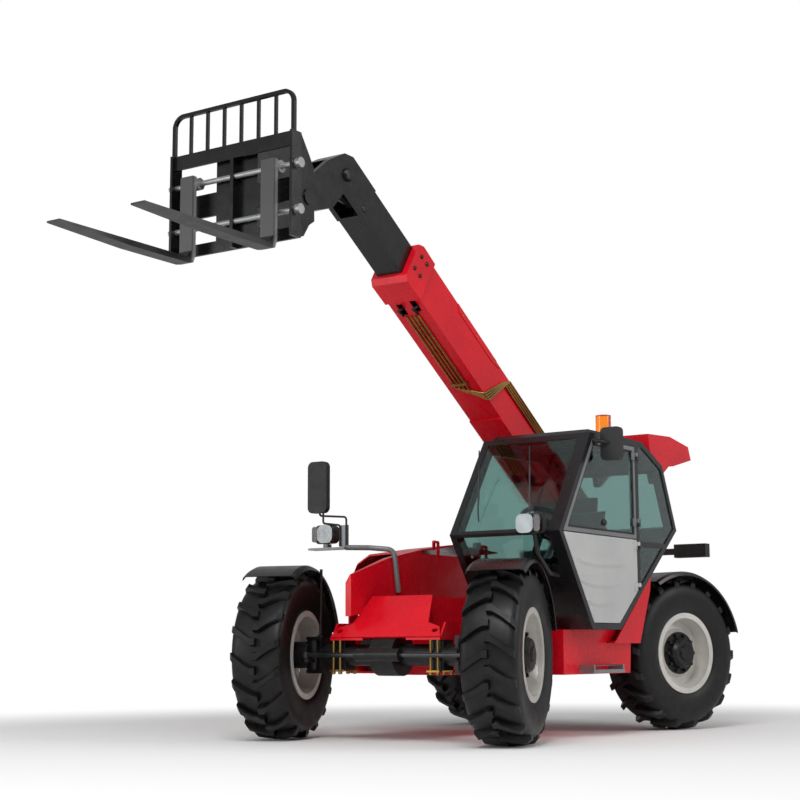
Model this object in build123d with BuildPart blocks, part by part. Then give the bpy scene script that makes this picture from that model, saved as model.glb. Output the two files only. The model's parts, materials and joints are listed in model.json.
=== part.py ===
"""Compact telehandler with forks: chassis, cab, boom, carriage and four steered wheels.

Millimetres, +X forward, +Y to the machine's left, +Z up, ground at Z 0.
Lengths along X in the tables are measured forward from the front axle.
"""
import os
from math import cos, hypot, radians, sin

from build123d import *

os.makedirs("parts", exist_ok=True)

# Running gear
WHEELBASE = 2800
TRACK = 1880
TYRE_RADIUS = 620
TYRE_WIDTH = 400
TYRE_FACETS = 24
LUGS_PER_SIDE = 18
LUG_HEIGHT = 34
RIM_RADIUS = 300
FLANGE_RADIUS = 327
KINGPIN_Y = 700
FRONT_STEER = 16
REAR_STEER = -18
STEER_ARM = 170
AXLE_PAD = 66
CLAMP_BOLT_X = 90
FENDER_RADIUS = 660
FENDER_WIDTH = 430
FENDER_ARC = 105
FENDER_FRONT = 30
AXLE_Z = TYRE_RADIUS

# Boom and carriage
BOOM_Y = -100
PIVOT_X = -3450
PIVOT_Z = 1480
BOOM_ANGLE = 33
OUTER_W = 296
OUTER_H = 350
OUTER_WALL = 10
COLLAR_U = 3870
COLLAR_L = 250
INNER_W = 224
INNER_H = 266
INNER_WALL = 9
INNER_TAIL_U = 1500
HEAD_U = 4770
TILT_X = 1120
TILT_Z = 3760
ROD_PIN_X = 1150
ROD_PIN_Z = 4020
TILT_BASE_U = 4470
CARRIAGE_X = 1745
CARRIAGE_BASE = 3240
CARRIAGE_W = 1060
GUARD_TOP = 4290
FORK_L = 1200
FORK_W = 110
FORK_T = 40
FORK_SPREAD = 700
LIFT_EYE_U = 700
LIFT_EYE_V = -262
LIFT_BASE_X = -1800
LIFT_BASE_Z = 560

# Cab and body
CAB_Y0 = 205
CAB_Y1 = 1135
CAB_WALL = 42
DOOR_GAP = 5
DOOR_T = 38
POST_X0 = -1785
POST_X1 = -1735
BELT_Z = 1500
GLASS_T = 6
FRAME_LEFT = 200
FRAME_RIGHT = -320
FRAME_T = 16
SILL_Z = 470
REAR_END = -3800
HITCH_PIN_R = 16

# The overall box is centred on X between the fork tips and the rear plate.
FORK_TIP = CARRIAGE_X + FORK_T + FORK_L
FRONT_X = -(FORK_TIP + REAR_END) / 2
REAR_X = -WHEELBASE


def side(y):
    """Plane facing right at y; local x runs forward from the front axle, local y up."""
    return Plane(origin=(FRONT_X, y, 0), x_dir=(1, 0, 0), z_dir=(0, -1, 0))


def across(x):
    """Plane facing forward at x; local x is Y and local y is Z."""
    return Plane(origin=(FRONT_X + x, 0, 0), x_dir=(0, 1, 0), z_dir=(1, 0, 0))


def along_boom(y):
    """Plane facing right at y; local x runs up the boom from its pivot."""
    lift = radians(BOOM_ANGLE)
    origin = (FRONT_X + PIVOT_X, y, PIVOT_Z)
    return Plane(origin=origin, x_dir=(cos(lift), 0, sin(lift)), z_dir=(0, -1, 0))


def between(y, start, end):
    """Plane facing right at y; local x runs from start to end, both (x, z)."""
    run = (end[0] - start[0], 0, end[1] - start[1])
    return Plane(origin=(FRONT_X + start[0], y, start[1]), x_dir=run, z_dir=(0, -1, 0))


def boom_point(u, v):
    """Boom coordinates (u, v) as (x ahead of the front axle, z)."""
    lift = radians(BOOM_ANGLE)
    return (PIVOT_X + u * cos(lift) - v * sin(lift), PIVOT_Z + u * sin(lift) + v * cos(lift))


def outline(plane, points):
    with BuildSketch(plane) as shape:
        with BuildLine():
            Polyline(points, close=True)
        make_face()
    return shape.sketch


def slab(plane, points, width, mode=Mode.ADD):
    extrude(outline(plane, points), amount=width, mode=mode)


def oblong(x0, x1, y0, y1):
    return [(x0, y0), (x1, y0), (x1, y1), (x0, y1)]


def disc(plane, centre, radius, width, mode=Mode.ADD):
    with BuildSketch(plane) as shape:
        with Locations(centre):
            Circle(radius)
    extrude(shape.sketch, amount=width, mode=mode)


def block(x0, x1, y0, y1, z0, z1, mode=Mode.ADD):
    with Locations((FRONT_X + (x0 + x1) / 2, (y0 + y1) / 2, (z0 + z1) / 2)):
        Box(abs(x1 - x0), abs(y1 - y0), abs(z1 - z0), mode=mode)


def pillar(x, y, z0, z1, radius, mode=Mode.ADD):
    disc(Plane(origin=(FRONT_X + x, y, z0)), (0, 0), radius, z1 - z0, mode)


def tube(points, bend, radius):
    with BuildLine() as run:
        FilletPolyline(*[(FRONT_X + x, y, z) for x, y, z in points], radius=bend)
    with BuildSketch(run.line ^ 0) as ring:
        Circle(radius)
    sweep(ring.sketch, path=run.line)


def ruled(sections, mode=Mode.ADD):
    """Flat-sided loft through (x, [(y, z), ...]) sections."""
    loft([outline(across(x), points) for x, points in sections], ruled=True, mode=mode)


# ---------------------------------------------------------------- chassis
SIDE_PROFILE = [
    # x, z
    (90, 740),
    (-150, 1040),
    (-2950, 1040),
    (REAR_END + 150, 1000),
    (REAR_END + 150, 700),
    (REAR_X - 260, 740),
    (REAR_X + 260, 740),
    (REAR_X + 420, SILL_Z),
    (-420, SILL_Z),
    (-260, 740),
]
EAR_Y = (BOOM_Y + 200, BOOM_Y - 170)
EAR_PROFILE = [(-2960, 1000), (-3330, 1590), (-3400, 1640), (-3500, 1640), (-3570, 1580), (-3640, 1000)]
NOSE = [(-480, 0), (480, 0), (440, 90), (330, 130), (265, 384), (-265, 384), (-330, 130), (-440, 90)]
TANK_PROFILE = [(-860, SILL_Z), (-860, 799.7), (-1990, 799.7), (-1960, SILL_Z)]
SKIRT_PROFILE = [(-1560, 700), (-2235, 1235), (-2215, 1120), (-2010, 700)]
FAIRING = [
    # x, outer y, bottom z, top z
    (90, -350, 900, 1205),
    (-400, -395, 980, 1345),
    (-570, -400, 1010, 1378),
    (-850, -600, 960, 1430),
]

HOOD_HINGE = (-323, 1505)
HOOD_HINGE_X = (-1100, -1840)

with BuildPart() as chassis_frame:
    for y in (FRAME_LEFT, FRAME_RIGHT + FRAME_T):
        slab(side(y), SIDE_PROFILE, FRAME_T)
    for y in EAR_Y:
        slab(side(y), EAR_PROFILE, 30)
    block(-420, REAR_X + 420, FRAME_RIGHT, FRAME_LEFT, SILL_Z, SILL_Z + 14)
    block(-420, -436, FRAME_RIGHT, FRAME_LEFT, SILL_Z, 1000)
    block(-2364, -2380, FRAME_RIGHT, FRAME_LEFT, SILL_Z, 880)
    block(-3140, REAR_END + 150, FRAME_RIGHT, FRAME_LEFT, 984, 1000)
    block(REAR_END + 150, REAR_END + 166, FRAME_RIGHT, FRAME_LEFT, 700, 1000)
    for y0, y1 in ((FRAME_LEFT, 480), (FRAME_RIGHT, -480)):
        block(REAR_X - 180, REAR_X + 180, y0, y1, 726, 742)
    nose = Plane(origin=(FRONT_X + 90, 0, 740), x_dir=(0, 1, 0), z_dir=(0.78, 0, 0.625))
    slab(nose, NOSE, 16)
    for y in (480, -464):
        slab(side(y), [(90, 740), (20, 850), (-120, 850), (-180, 740)], 16)
    for y0, y1 in ((FRAME_LEFT - 10, 480), (-190, -480)):
        block(-180, 100, y0, y1, 726, 742)
    with BuildSketch(nose):
        with Locations((415, 55), (-415, 55)):
            Ellipse(26, 17)
    extrude(amount=60, both=True, mode=Mode.SUBTRACT)
    slab(side(940), TANK_PROFILE, 940 - FRAME_LEFT)
    slab(side(1010), SKIRT_PROFILE, 14)
    block(-1560, -2000, 900, 1010, 700, 714)
    block(-880, -1960, FRAME_RIGHT, -1040, SILL_Z, SILL_Z + 16)
    slab(side(-1024), [(-880, SILL_Z), (-880, 840), (-2000, 840), (-1960, SILL_Z)], 16)
    for inner, outer in zip(FAIRING[:-1], FAIRING[1:]):
        ruled([(x, [(-300, bottom), (-300, top), (y + 40, top), (y, top - 60), (y, bottom)])
               for x, y, bottom, top in (inner, outer)])
    block(-850, -2060, -300, FRAME_RIGHT, 960, 1400)
    for x in HOOD_HINGE_X:
        disc(across(x - 30.3), HOOD_HINGE, 11, 30)
        block(x - 30.3, x - 0.3, FRAME_RIGHT, -308, 1390, HOOD_HINGE[1])
    disc(side(EAR_Y[0] + 12), (PIVOT_X, PIVOT_Z), 78, EAR_Y[0] - EAR_Y[1] + 54)
    block(-3330, -3580, BOOM_Y - 160, BOOM_Y + 160, PIVOT_Z - 90, PIVOT_Z + 90, Mode.SUBTRACT)
    disc(side(EAR_Y[0] + 20), (PIVOT_X, PIVOT_Z), 39.5, EAR_Y[0] - EAR_Y[1] + 70)
    for y in (BOOM_Y + 95, BOOM_Y - 75):
        slab(side(y), [(LIFT_BASE_X + 90, SILL_Z), (LIFT_BASE_X + 50, LIFT_BASE_Z + 50),
                       (LIFT_BASE_X - 50, LIFT_BASE_Z + 50), (LIFT_BASE_X - 90, SILL_Z)], 20)
    disc(side(BOOM_Y + 105), (LIFT_BASE_X, LIFT_BASE_Z), 24.5, 210)
chassis_frame.part.label = "chassis_frame"
export_step(chassis_frame.part, "parts/chassis_frame.step")


def axle(x, lead):
    """Steered drive axle at x, its steering cylinder ahead (lead 1) or behind (lead -1)."""
    disc(side(100), (x, AXLE_Z), 150, 200)
    with Locations(Location((FRONT_X + x, 0, AXLE_Z), (90, 0, 0))):
        Cylinder(78, 2 * KINGPIN_Y - 200)
    for flip in (1, -1):
        hub = KINGPIN_Y * flip
        block(x - 62, x + 62, hub - 122 * flip, hub - 92 * flip, AXLE_Z - 135, AXLE_Z + 135)
        for z in (AXLE_Z + 110, AXLE_Z - 135):
            block(x - 62, x + 62, hub - 100 * flip, hub, z, z + 25)
            pillar(x, hub, z, z + 25, 62)
        block(x - AXLE_PAD, x + AXLE_PAD, 370 * flip, 485 * flip, AXLE_Z - 107.7, AXLE_Z + 106)
    cylinder_x = x + STEER_ARM * lead
    disc(side(190), (cylinder_x, AXLE_Z), 46, 380)
    disc(side(200), (cylinder_x, AXLE_Z), 16.4, 400, Mode.SUBTRACT)
    block(min(x, cylinder_x - 30 * lead), max(x, cylinder_x - 30 * lead), -60, 60, AXLE_Z - 40, AXLE_Z + 40)


with BuildPart() as front_axle:
    axle(0, 1)
front_axle.part.label = "front_axle"
export_step(front_axle.part, "parts/front_axle.step")

with BuildPart() as rear_axle:
    axle(REAR_X, -1)
rear_axle.part.label = "rear_axle"
export_step(rear_axle.part, "parts/rear_axle.step")

with BuildPart() as axle_clamps:
    for axle_x in (0, REAR_X):
        for flip in (1, -1):
            for x in (axle_x - CLAMP_BOLT_X, axle_x + CLAMP_BOLT_X):
                for y in (395, 455):
                    pillar(x, y * flip, 480, 725.7, 9)
                    pillar(x, y * flip, 484, 500, 16)
                block(x - 22, x + 22, 372 * flip, 478 * flip, 500, 512)
axle_clamps.part.label = "axle_clamps"
export_step(axle_clamps.part, "parts/axle_clamps.step")

with BuildPart() as engine_block:
    block(-960, -1880, -420, -960, 560, 1180)
    block(-1020, -1800, -480, -860, 1180, 1300)
    for x in (-1040, -1800):
        for y in (-480, -900):
            pillar(x, y, SILL_Z + 16.3, 560, 40)
engine_block.part.label = "engine_block"
export_step(engine_block.part, "parts/engine_block.step")

HOOD = [
    # x, top z, outer y
    (-856, 1432, -1010),
    (-1400, 1500, -1080),
    (-2060, 1470, -1080),
]

with BuildPart() as hood:
    for first, second in zip(HOOD[:-1], HOOD[1:]):
        ruled([(x, [(-326, 846), (-326, top), (-800, top - 20), (outer + 90, top - 90),
                    (outer, top - 260), (outer, 846)]) for x, top, outer in (first, second)])
    for first, second in zip(HOOD[:-1], HOOD[1:]):
        ruled([(x, [(-320, 800), (-320, top - 14), (-800, top - 34), (outer + 84, top - 104),
                    (outer + 14, top - 266), (outer + 14, 800)]) for x, top, outer in (first, second)],
              Mode.SUBTRACT)
    for row in range(6):
        for column in range(3):
            z = 920 + 46 * row
            x = -1000 - 330 * column
            block(x, x - 260, -1000, -1100, z, z + 18, Mode.SUBTRACT)
    for x in HOOD_HINGE_X:
        disc(across(x), HOOD_HINGE, 11, 40)
        block(x, x + 40, HOOD_HINGE[0] - 12, HOOD_HINGE[0] - 4, 1440, HOOD_HINGE[1])
hood.part.label = "hood"
export_step(hood.part, "parts/hood.step")

with BuildPart() as exhaust:
    tube([(-1880.3, -640, 1000), (-2010, -640, 1000), (-2110, -560, 1250), (-2110, -560, 1560)], 60, 34)
exhaust.part.label = "exhaust"
export_step(exhaust.part, "parts/exhaust.step")

with BuildPart() as counterweight:
    slab(side(560), [(REAR_END + 149.7, 560), (REAR_END + 149.7, 1010), (REAR_END + 60, 1010), (REAR_END, 960),
                     (REAR_END, 620), (REAR_END + 50, 560)], 1120)
    slab(side(60), oblong(REAR_END + 140, REAR_END, 450, 600), 120)
    slab(side(70), oblong(REAR_END + 100, REAR_END - 10, 480, 560), 140, Mode.SUBTRACT)
    disc(Plane(origin=(FRONT_X + REAR_END + 50, 0, 440)), (0, 0), HITCH_PIN_R, 170, Mode.SUBTRACT)
counterweight.part.label = "counterweight"
export_step(counterweight.part, "parts/counterweight.step")


# ---------------------------------------------------------------- cab
CAB_SIDE = [(-960, 800), (-470, 1500), (-985, 2265), (-1870, 2280), (-2240, 2120), (-2480, 1610), (-1420, 800)]
CHIN, NOSE_TIP, BROW, ROOF_END, REAR_BROW, TAIL, SILL_REAR = CAB_SIDE


def cab_panel(y, inset, x0, x1, z0, z1, width, mode=Mode.ADD):
    """Slice of the cab's side outline, drawn in by inset and cut to an x and z range."""
    with BuildSketch(side(y)) as shape:
        with BuildLine():
            Polyline(CAB_SIDE, close=True)
        make_face()
        offset(amount=-inset, kind=Kind.INTERSECTION, mode=Mode.REPLACE)
        with Locations(((x0 + x1) / 2, (z0 + z1) / 2)):
            Rectangle(x1 - x0, z1 - z0, mode=Mode.INTERSECT)
    extrude(shape.sketch, amount=width, mode=mode)


FULL = (-2600, -300, 700, 2400)
WINDSCREEN = [
    # lower corner, upper corner, start and end along the face
    (NOSE_TIP, BROW, 30, 872),
    (CHIN, NOSE_TIP, 560, 826),
]
REAR_PANE = (REAR_BROW, TAIL, 40, 524)
SIDE_PANE = (110, -2350, -560, 1340, 2170)
HINGE_X = POST_X1 + 3
HINGE_Y = CAB_Y1 + 17
LOWER_HINGES = (1130, 1450)
UPPER_HINGES = (1630, 2150)


def hinge_leaf(z, lead, barrel_z0, barrel_z1):
    """Door hinge leaf centred at z on the door (lead 1) or on the post (lead -1)."""
    block(HINGE_X + 8 * lead, HINGE_X + 60 * lead, CAB_Y1 - 2, CAB_Y1 + 9, z - 30, z + 30)
    block(HINGE_X, HINGE_X + 14 * lead, HINGE_Y - 11, HINGE_Y + 2, barrel_z0, barrel_z1)
    pillar(HINGE_X, HINGE_Y, barrel_z0, barrel_z1, 11)



with BuildPart() as cab_frame:
    cab_panel(CAB_Y1 - 41, 0, *FULL, CAB_Y1 - 41 - CAB_Y0)
    cab_panel(CAB_Y1, CAB_WALL, *FULL, CAB_Y1 - CAB_Y0 - CAB_WALL, Mode.SUBTRACT)
    for low, high, start, end in WINDSCREEN + [REAR_PANE]:
        slab(between(CAB_Y1 - 95, low, high), oblong(start, end, -20, 90), CAB_Y1 - CAB_Y0 - 150, Mode.SUBTRACT)
    cab_panel(CAB_Y0 + 60, *SIDE_PANE, 80, Mode.SUBTRACT)
    block(-1220, -1660, 470, 880, 840, 1110)
    slab(side(CAB_Y1 - 60), [(-1010, 2262), (-1860, 2276), (-1850, 2300), (-1060, 2300)], CAB_Y1 - CAB_Y0 - 120)
cab_frame.part.label = "cab_frame"
export_step(cab_frame.part, "parts/cab_frame.step")

with BuildPart() as cab_side_frame:
    cab_panel(CAB_Y1, 0, *FULL, 40.7)
    cab_panel(CAB_Y1 + 5, 45, POST_X1, -300, 700, 2400, 60, Mode.SUBTRACT)
    cab_panel(CAB_Y1 + 5, 45, -2600, POST_X0, BELT_Z - 10, 2400, 60, Mode.SUBTRACT)
    cab_panel(CAB_Y1 + 5, 45, -2600, POST_X0, 700, BELT_Z - 50, 60, Mode.SUBTRACT)
    for z in LOWER_HINGES + UPPER_HINGES:
        hinge_leaf(z, -1, z - 30, z - 0.3)
cab_side_frame.part.label = "cab_side_frame"
export_step(cab_side_frame.part, "parts/cab_side_frame.step")

with BuildPart() as windscreen:
    for low, high, start, end in WINDSCREEN:
        slab(between(CAB_Y1 - 95, low, high), oblong(start, end, 3, 3 + GLASS_T), CAB_Y1 - CAB_Y0 - 150)
windscreen.part.label = "windscreen"
export_step(windscreen.part, "parts/windscreen.step")

with BuildPart() as cab_windows:
    low, high, start, end = REAR_PANE
    slab(between(CAB_Y1 - 95, low, high), oblong(start, end, 3, 3 + GLASS_T), CAB_Y1 - CAB_Y0 - 150)
    cab_panel(CAB_Y0 + 12, *SIDE_PANE, GLASS_T)
    cab_panel(CAB_Y1 - 8, 45, -2600, POST_X0, BELT_Z - 10, 2400, GLASS_T)
    cab_panel(CAB_Y1 - 8, 45, -2600, POST_X0, 700, BELT_Z - 50, GLASS_T)
cab_windows.part.label = "cab_windows"
export_step(cab_windows.part, "parts/cab_windows.step")

DOOR = (45 + DOOR_GAP, POST_X1 + DOOR_GAP, -300)
DOOR_PRESSINGS = [
    # x, z, length, height
    (-1130, 1312, 800, 104),
    (-1105, 1155, 620, 96),
    (-1080, 1012, 400, 92),
]
with BuildPart() as door_lower:
    cab_panel(CAB_Y1, *DOOR, 700, BELT_Z - 4, DOOR_T)
    cab_panel(CAB_Y1 - 14, 90, POST_X1 + 45, -300, 700, BELT_Z - 44, DOOR_T, Mode.SUBTRACT)
    for z in LOWER_HINGES:
        hinge_leaf(z, 1, z, z + 30)
    for x, z, length, height in DOOR_PRESSINGS:
        for inset, proud in ((0, 3), (14, 6)):
            with BuildSketch(side(CAB_Y1 + proud)) as pressing:
                with Locations((x, z)):
                    Ellipse(length / 2 - 2 * inset, height / 2 - inset)
            extrude(pressing.sketch, amount=proud + 2)
door_lower.part.label = "door_lower"
export_step(door_lower.part, "parts/door_lower.step")

with BuildPart() as door_upper:
    cab_panel(CAB_Y1, *DOOR, BELT_Z + 4, 2400, DOOR_T)
    cab_panel(CAB_Y1 + 5, 88, POST_X1 + 45, -300, BELT_Z + 40, 2400, 60, Mode.SUBTRACT)
    for z in UPPER_HINGES:
        hinge_leaf(z, 1, z, z + 30)
door_upper.part.label = "door_upper"
export_step(door_upper.part, "parts/door_upper.step")

with BuildPart() as door_window:
    cab_panel(CAB_Y1 - 8, 88, POST_X1 + 45, -300, BELT_Z + 40, 2400, GLASS_T)
door_window.part.label = "door_window"
export_step(door_window.part, "parts/door_window.step")

with BuildPart() as seat:
    slab(side(900), [(-1200, 1110.3), (-1180, 1190), (-1210, 1240), (-1570, 1240), (-1700, 1860), (-1790, 1850),
                     (-1690, 1110.3)], 450)
seat.part.label = "seat"
export_step(seat.part, "parts/seat.step")

with BuildPart() as steering_console:
    slab(side(860), [(-1000, 842.3), (-890, 1000), (-760, 1200), (-740, 1300), (-900, 1330), (-1010, 1200),
                     (-1070, 842.3)], 380)
    column = between(670, (-880, 1290), (-1085, 1598))
    disc(Plane(origin=column.origin, z_dir=column.x_dir), (0, 0), 26, 372)
    wheel = Plane(origin=(FRONT_X - 1085, 670, 1598), x_dir=(0, 1, 0), z_dir=(-0.55, 0, 0.83))
    with BuildSketch(wheel) as ring:
        Circle(195)
        Circle(168, mode=Mode.SUBTRACT)
        Rectangle(350, 34)
        Circle(46)
    extrude(ring.sketch, amount=24, both=False)
steering_console.part.label = "steering_console"
export_step(steering_console.part, "parts/steering_console.step")

with BuildPart() as cab_rear_housing:
    slab(side(1040), [(-2240, 2121), (-2190, 2390), (-2610, 2410), (-2980, 2360), (-3030, 2250),
                      (-2660, 2165)], 560)
    slab(side(1040), [(-2300, 1990), (-2240, 2121), (-2600, 2170)], 60)
    slab(side(540), [(-2300, 1990), (-2240, 2121), (-2600, 2170)], 60)
cab_rear_housing.part.label = "cab_rear_housing"
export_step(cab_rear_housing.part, "parts/cab_rear_housing.step")

with BuildPart() as beacon:
    pillar(-1500, 985, 2300.3, 2340, 72)
    pillar(-1500, 985, 2340, 2462, 60)
beacon.part.label = "beacon"
export_step(beacon.part, "parts/beacon.step")


# ---------------------------------------------------------------- lamps, mirrors and step
HEADLAMP_L = (-350, 950, 1550)
HEADLAMP_R = (-200, -780, 1535)
LAMPS = [
    # x, y, z, outer direction
    (*HEADLAMP_L, 1),
    (*HEADLAMP_R, -1),
]

with BuildPart() as headlamps:
    for x, y, z, outward in LAMPS:
        with BuildSketch(across(x - 90)) as face:
            with Locations((y, z)):
                RectangleRounded(200, 140, 50)
        with BuildSketch(across(x - 30)) as rear:
            with Locations((y, z)):
                RectangleRounded(206, 146, 52)
        loft([face.sketch, rear.sketch])
    tube([(-430, 950, 1500), (-470, 960, 1330), (-560, 1000, 1200), (-720, 1000, 1190)], 50, 17)
    cab_panel(CAB_Y1 + 20, -0.3, *FULL, CAB_Y1 - CAB_Y0, Mode.SUBTRACT)
headlamps.part.label = "headlamps"
export_step(headlamps.part, "parts/headlamps.step")

with BuildPart() as lamp_lenses:
    for x, y, z, outward in LAMPS:
        with BuildSketch(across(x - 30)) as face:
            with Locations((y - 28 * outward, z)):
                RectangleRounded(140, 136, 45)
        extrude(face.sketch, amount=42)
lamp_lenses.part.label = "lamp_lenses"
export_step(lamp_lenses.part, "parts/lamp_lenses.step")

with BuildPart() as indicator_lenses:
    for x, y, z, outward in LAMPS:
        with BuildSketch(across(x - 30)) as face:
            with Locations((y + 71 * outward, z)):
                RectangleRounded(52, 120, 20)
        extrude(face.sketch, amount=38)
indicator_lenses.part.label = "indicator_lenses"
export_step(indicator_lenses.part, "parts/indicator_lenses.step")

with BuildPart() as lamp_arm:
    tube([(-500, -279.7, 1090), (-440, -279.7, 1410), (-330, -430, 1425), (-200, -560, 1425)], 60, 20)
    block(-250, -150, -540, -880, 1412, 1428)
    block(-240, -230, -560, -640, 1428, 1600)
    block(-290, -236, -760, -800, 1428, 1461.7)
lamp_arm.part.label = "lamp_arm"
export_step(lamp_arm.part, "parts/lamp_arm.step")

with BuildPart() as mirrors:
    tube([(-221.7, -570, 1440), (-221.7, -570, 1660), (-221.7, -825, 1680), (-221.7, -825, 1760)], 25, 8)
    tube([(-221.7, -630, 1440), (-221.7, -630, 1600), (-221.7, -790, 1620), (-221.7, -790, 1730)], 20, 8)
    with BuildSketch(across(-240)) as face:
        with Locations((-830, 1900)):
            RectangleRounded(180, 400, 45)
    extrude(face.sketch, amount=48)
mirrors.part.label = "mirrors"
export_step(mirrors.part, "parts/mirrors.step")

with BuildPart() as door_mirror:
    block(-1075, -1005, CAB_Y1, CAB_Y1 + 6, 2178, 2210)
    tube([(-1040, CAB_Y1 + 3, 2194), (-1040, 1210, 2194), (-1100, 1262, 2180)], 25, 11)
    with BuildSketch(across(-1120)) as face:
        with Locations((1255, 2180)):
            RectangleRounded(170, 250, 35)
    extrude(face.sketch, amount=44)
door_mirror.part.label = "door_mirror"
export_step(door_mirror.part, "parts/door_mirror.step")

with BuildPart() as step:
    block(-1100, -1620, 940.3, 1060, 478, 504)
    block(-1110, -1130, 940.3, 1060, 504, 540)
    block(-1590, -1610, 940.3, 1060, 504, 540)
step.part.label = "step"
export_step(step.part, "parts/step.step")

with BuildPart() as rear_lamp_bar:
    for y0, y1, flip in ((EAR_Y[0] + 0.3, 940, 1), (EAR_Y[1] - 30.3, -940, -1)):
        block(-3530, -3570, y0, y1, 1480, 1535)
        block(-3510, -3605, y1, y1 - 300 * flip, 1452, 1570)
rear_lamp_bar.part.label = "rear_lamp_bar"
export_step(rear_lamp_bar.part, "parts/rear_lamp_bar.step")


# ---------------------------------------------------------------- boom
OUTER_L = COLLAR_U - 20
STIFFENER = [(2430, 150), (2500, OUTER_H / 2), (3190, OUTER_H / 2), (3150, 124), (2560, 124)]
WEAR_BOLTS = [(3791, 103), (3707, 103), (3814, -41), (3729, -41)]
HOSE_PORTS = [
    # u, y
    (3530, BOOM_Y - 63),
    (3550, BOOM_Y + 70),
]
with BuildPart() as boom_outer:
    slab(along_boom(BOOM_Y + OUTER_W / 2), oblong(-180, OUTER_L, -OUTER_H / 2, OUTER_H / 2), OUTER_W)
    disc(along_boom(BOOM_Y + OUTER_W / 2), (-20, 0), 200, OUTER_W)
    slab(along_boom(BOOM_Y + OUTER_W / 2 + 16), [(COLLAR_U - COLLAR_L, -190), (COLLAR_U - 40, -195), (COLLAR_U, -160),
         (COLLAR_U, 160), (COLLAR_U - 60, 195), (COLLAR_U - COLLAR_L, 190)], OUTER_W + 32)
    slab(along_boom(BOOM_Y + OUTER_W / 2 + 5), STIFFENER, OUTER_W + 10)
    slab(along_boom(BOOM_Y + OUTER_W / 2 + 4), oblong(250, 2190, -OUTER_H / 2 - 12, -OUTER_H / 2 + 40),
         OUTER_W + 8)
    bore = OUTER_W - 2 * OUTER_WALL
    slab(along_boom(BOOM_Y + bore / 2), oblong(420, COLLAR_U - 130, OUTER_WALL - OUTER_H / 2,
         OUTER_H / 2 - OUTER_WALL), bore, Mode.SUBTRACT)
    slab(along_boom(BOOM_Y + INNER_W / 2 + 0.4), oblong(COLLAR_U - 200, COLLAR_U + 10, -INNER_H / 2 - 0.4,
         INNER_H / 2 + 0.4), INNER_W + 0.8, Mode.SUBTRACT)
    disc(along_boom(BOOM_Y + 200), (0, 0), 40, 400, Mode.SUBTRACT)
    for y in (BOOM_Y + 92, BOOM_Y - 62):
        slab(along_boom(y), [(LIFT_EYE_U - 170, -170), (LIFT_EYE_U - 60, LIFT_EYE_V - 50),
                             (LIFT_EYE_U + 60, LIFT_EYE_V - 50), (LIFT_EYE_U + 190, -170)], 30)
    for y in (BOOM_Y + 106, BOOM_Y - 92):
        disc(along_boom(y), (LIFT_EYE_U, LIFT_EYE_V), 38, 14)
    with BuildSketch(along_boom(BOOM_Y + OUTER_W / 2 + 17)) as wear_bolts:
        with Locations(*WEAR_BOLTS):
            Circle(11)
    extrude(wear_bolts.sketch, amount=10, mode=Mode.SUBTRACT)
    for u, y in HOSE_PORTS:
        port = along_boom(y + 27)
        slab(port, oblong(u - 60, u + 60, -OUTER_H / 2 - 1, -OUTER_H / 2 + OUTER_WALL + 1), 54, Mode.SUBTRACT)
boom_outer.part.label = "boom_outer"
export_step(boom_outer.part, "parts/boom_outer.step")


def boom_tube(points, bend, radius):
    """Round pipe along (u, y, v) points of the boom."""
    places = []
    for u, y, v in points:
        x, z = boom_point(u, v)
        places.append((x, y, z))
    tube(places, bend, radius)


with BuildPart() as boom_pipes:
    for index in range(4):
        y = BOOM_Y - 60 + 36 * index
        step_up = 26 * index
        boom_tube([(3460, y, -184), (2600 - step_up, y, -184), (2510 - step_up, 58, -186),
                   (2330 - step_up, 58, 84 + step_up), (600, 58, 84 + step_up)], 14, 8.7)
    slab(along_boom(BOOM_Y + 70), oblong(2640, 2665, -200, -176), 150)
boom_pipes.part.label = "boom_pipes"
export_step(boom_pipes.part, "parts/boom_pipes.step")

HEAD_SIDE = [(4470, 136), (4810, 136), (4900, 80), (5010, -110), (5140, -500), (5150, -600), (5080, -650),
             (4990, -620), (4780, -370), (4740, -140), (4470, -140)]
HEAD_CAVITY = [(4380, 85), (4840, 85), (4950, -60), (5220, -60), (5220, -720), (5060, -720), (4995, -585),
               (4800, -350), (4790, -285), (4700, -215), (4490, -215), (4490, -85), (4380, -85)]
TILT_PIN = (TILT_X, TILT_Z)
with BuildPart() as boom_inner:
    slab(along_boom(BOOM_Y + INNER_W / 2), oblong(INNER_TAIL_U, HEAD_U, -INNER_H / 2, INNER_H / 2), INNER_W)
    slab(along_boom(BOOM_Y + INNER_W / 2 + 10), HEAD_SIDE, INNER_W + 20)
    inner = INNER_W - 2 * INNER_WALL
    slab(along_boom(BOOM_Y + inner / 2), oblong(INNER_TAIL_U - 10, HEAD_U - 500, INNER_WALL - INNER_H / 2,
         INNER_H / 2 - INNER_WALL), inner, Mode.SUBTRACT)
    slab(along_boom(BOOM_Y + 80), HEAD_CAVITY, 160, Mode.SUBTRACT)
    disc(along_boom(BOOM_Y + 85), (TILT_BASE_U, 0), 24.5, 170)
    disc(side(BOOM_Y + 200), TILT_PIN, 30, 400, Mode.SUBTRACT)
boom_inner.part.label = "boom_inner"
export_step(boom_inner.part, "parts/boom_inner.step")


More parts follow.
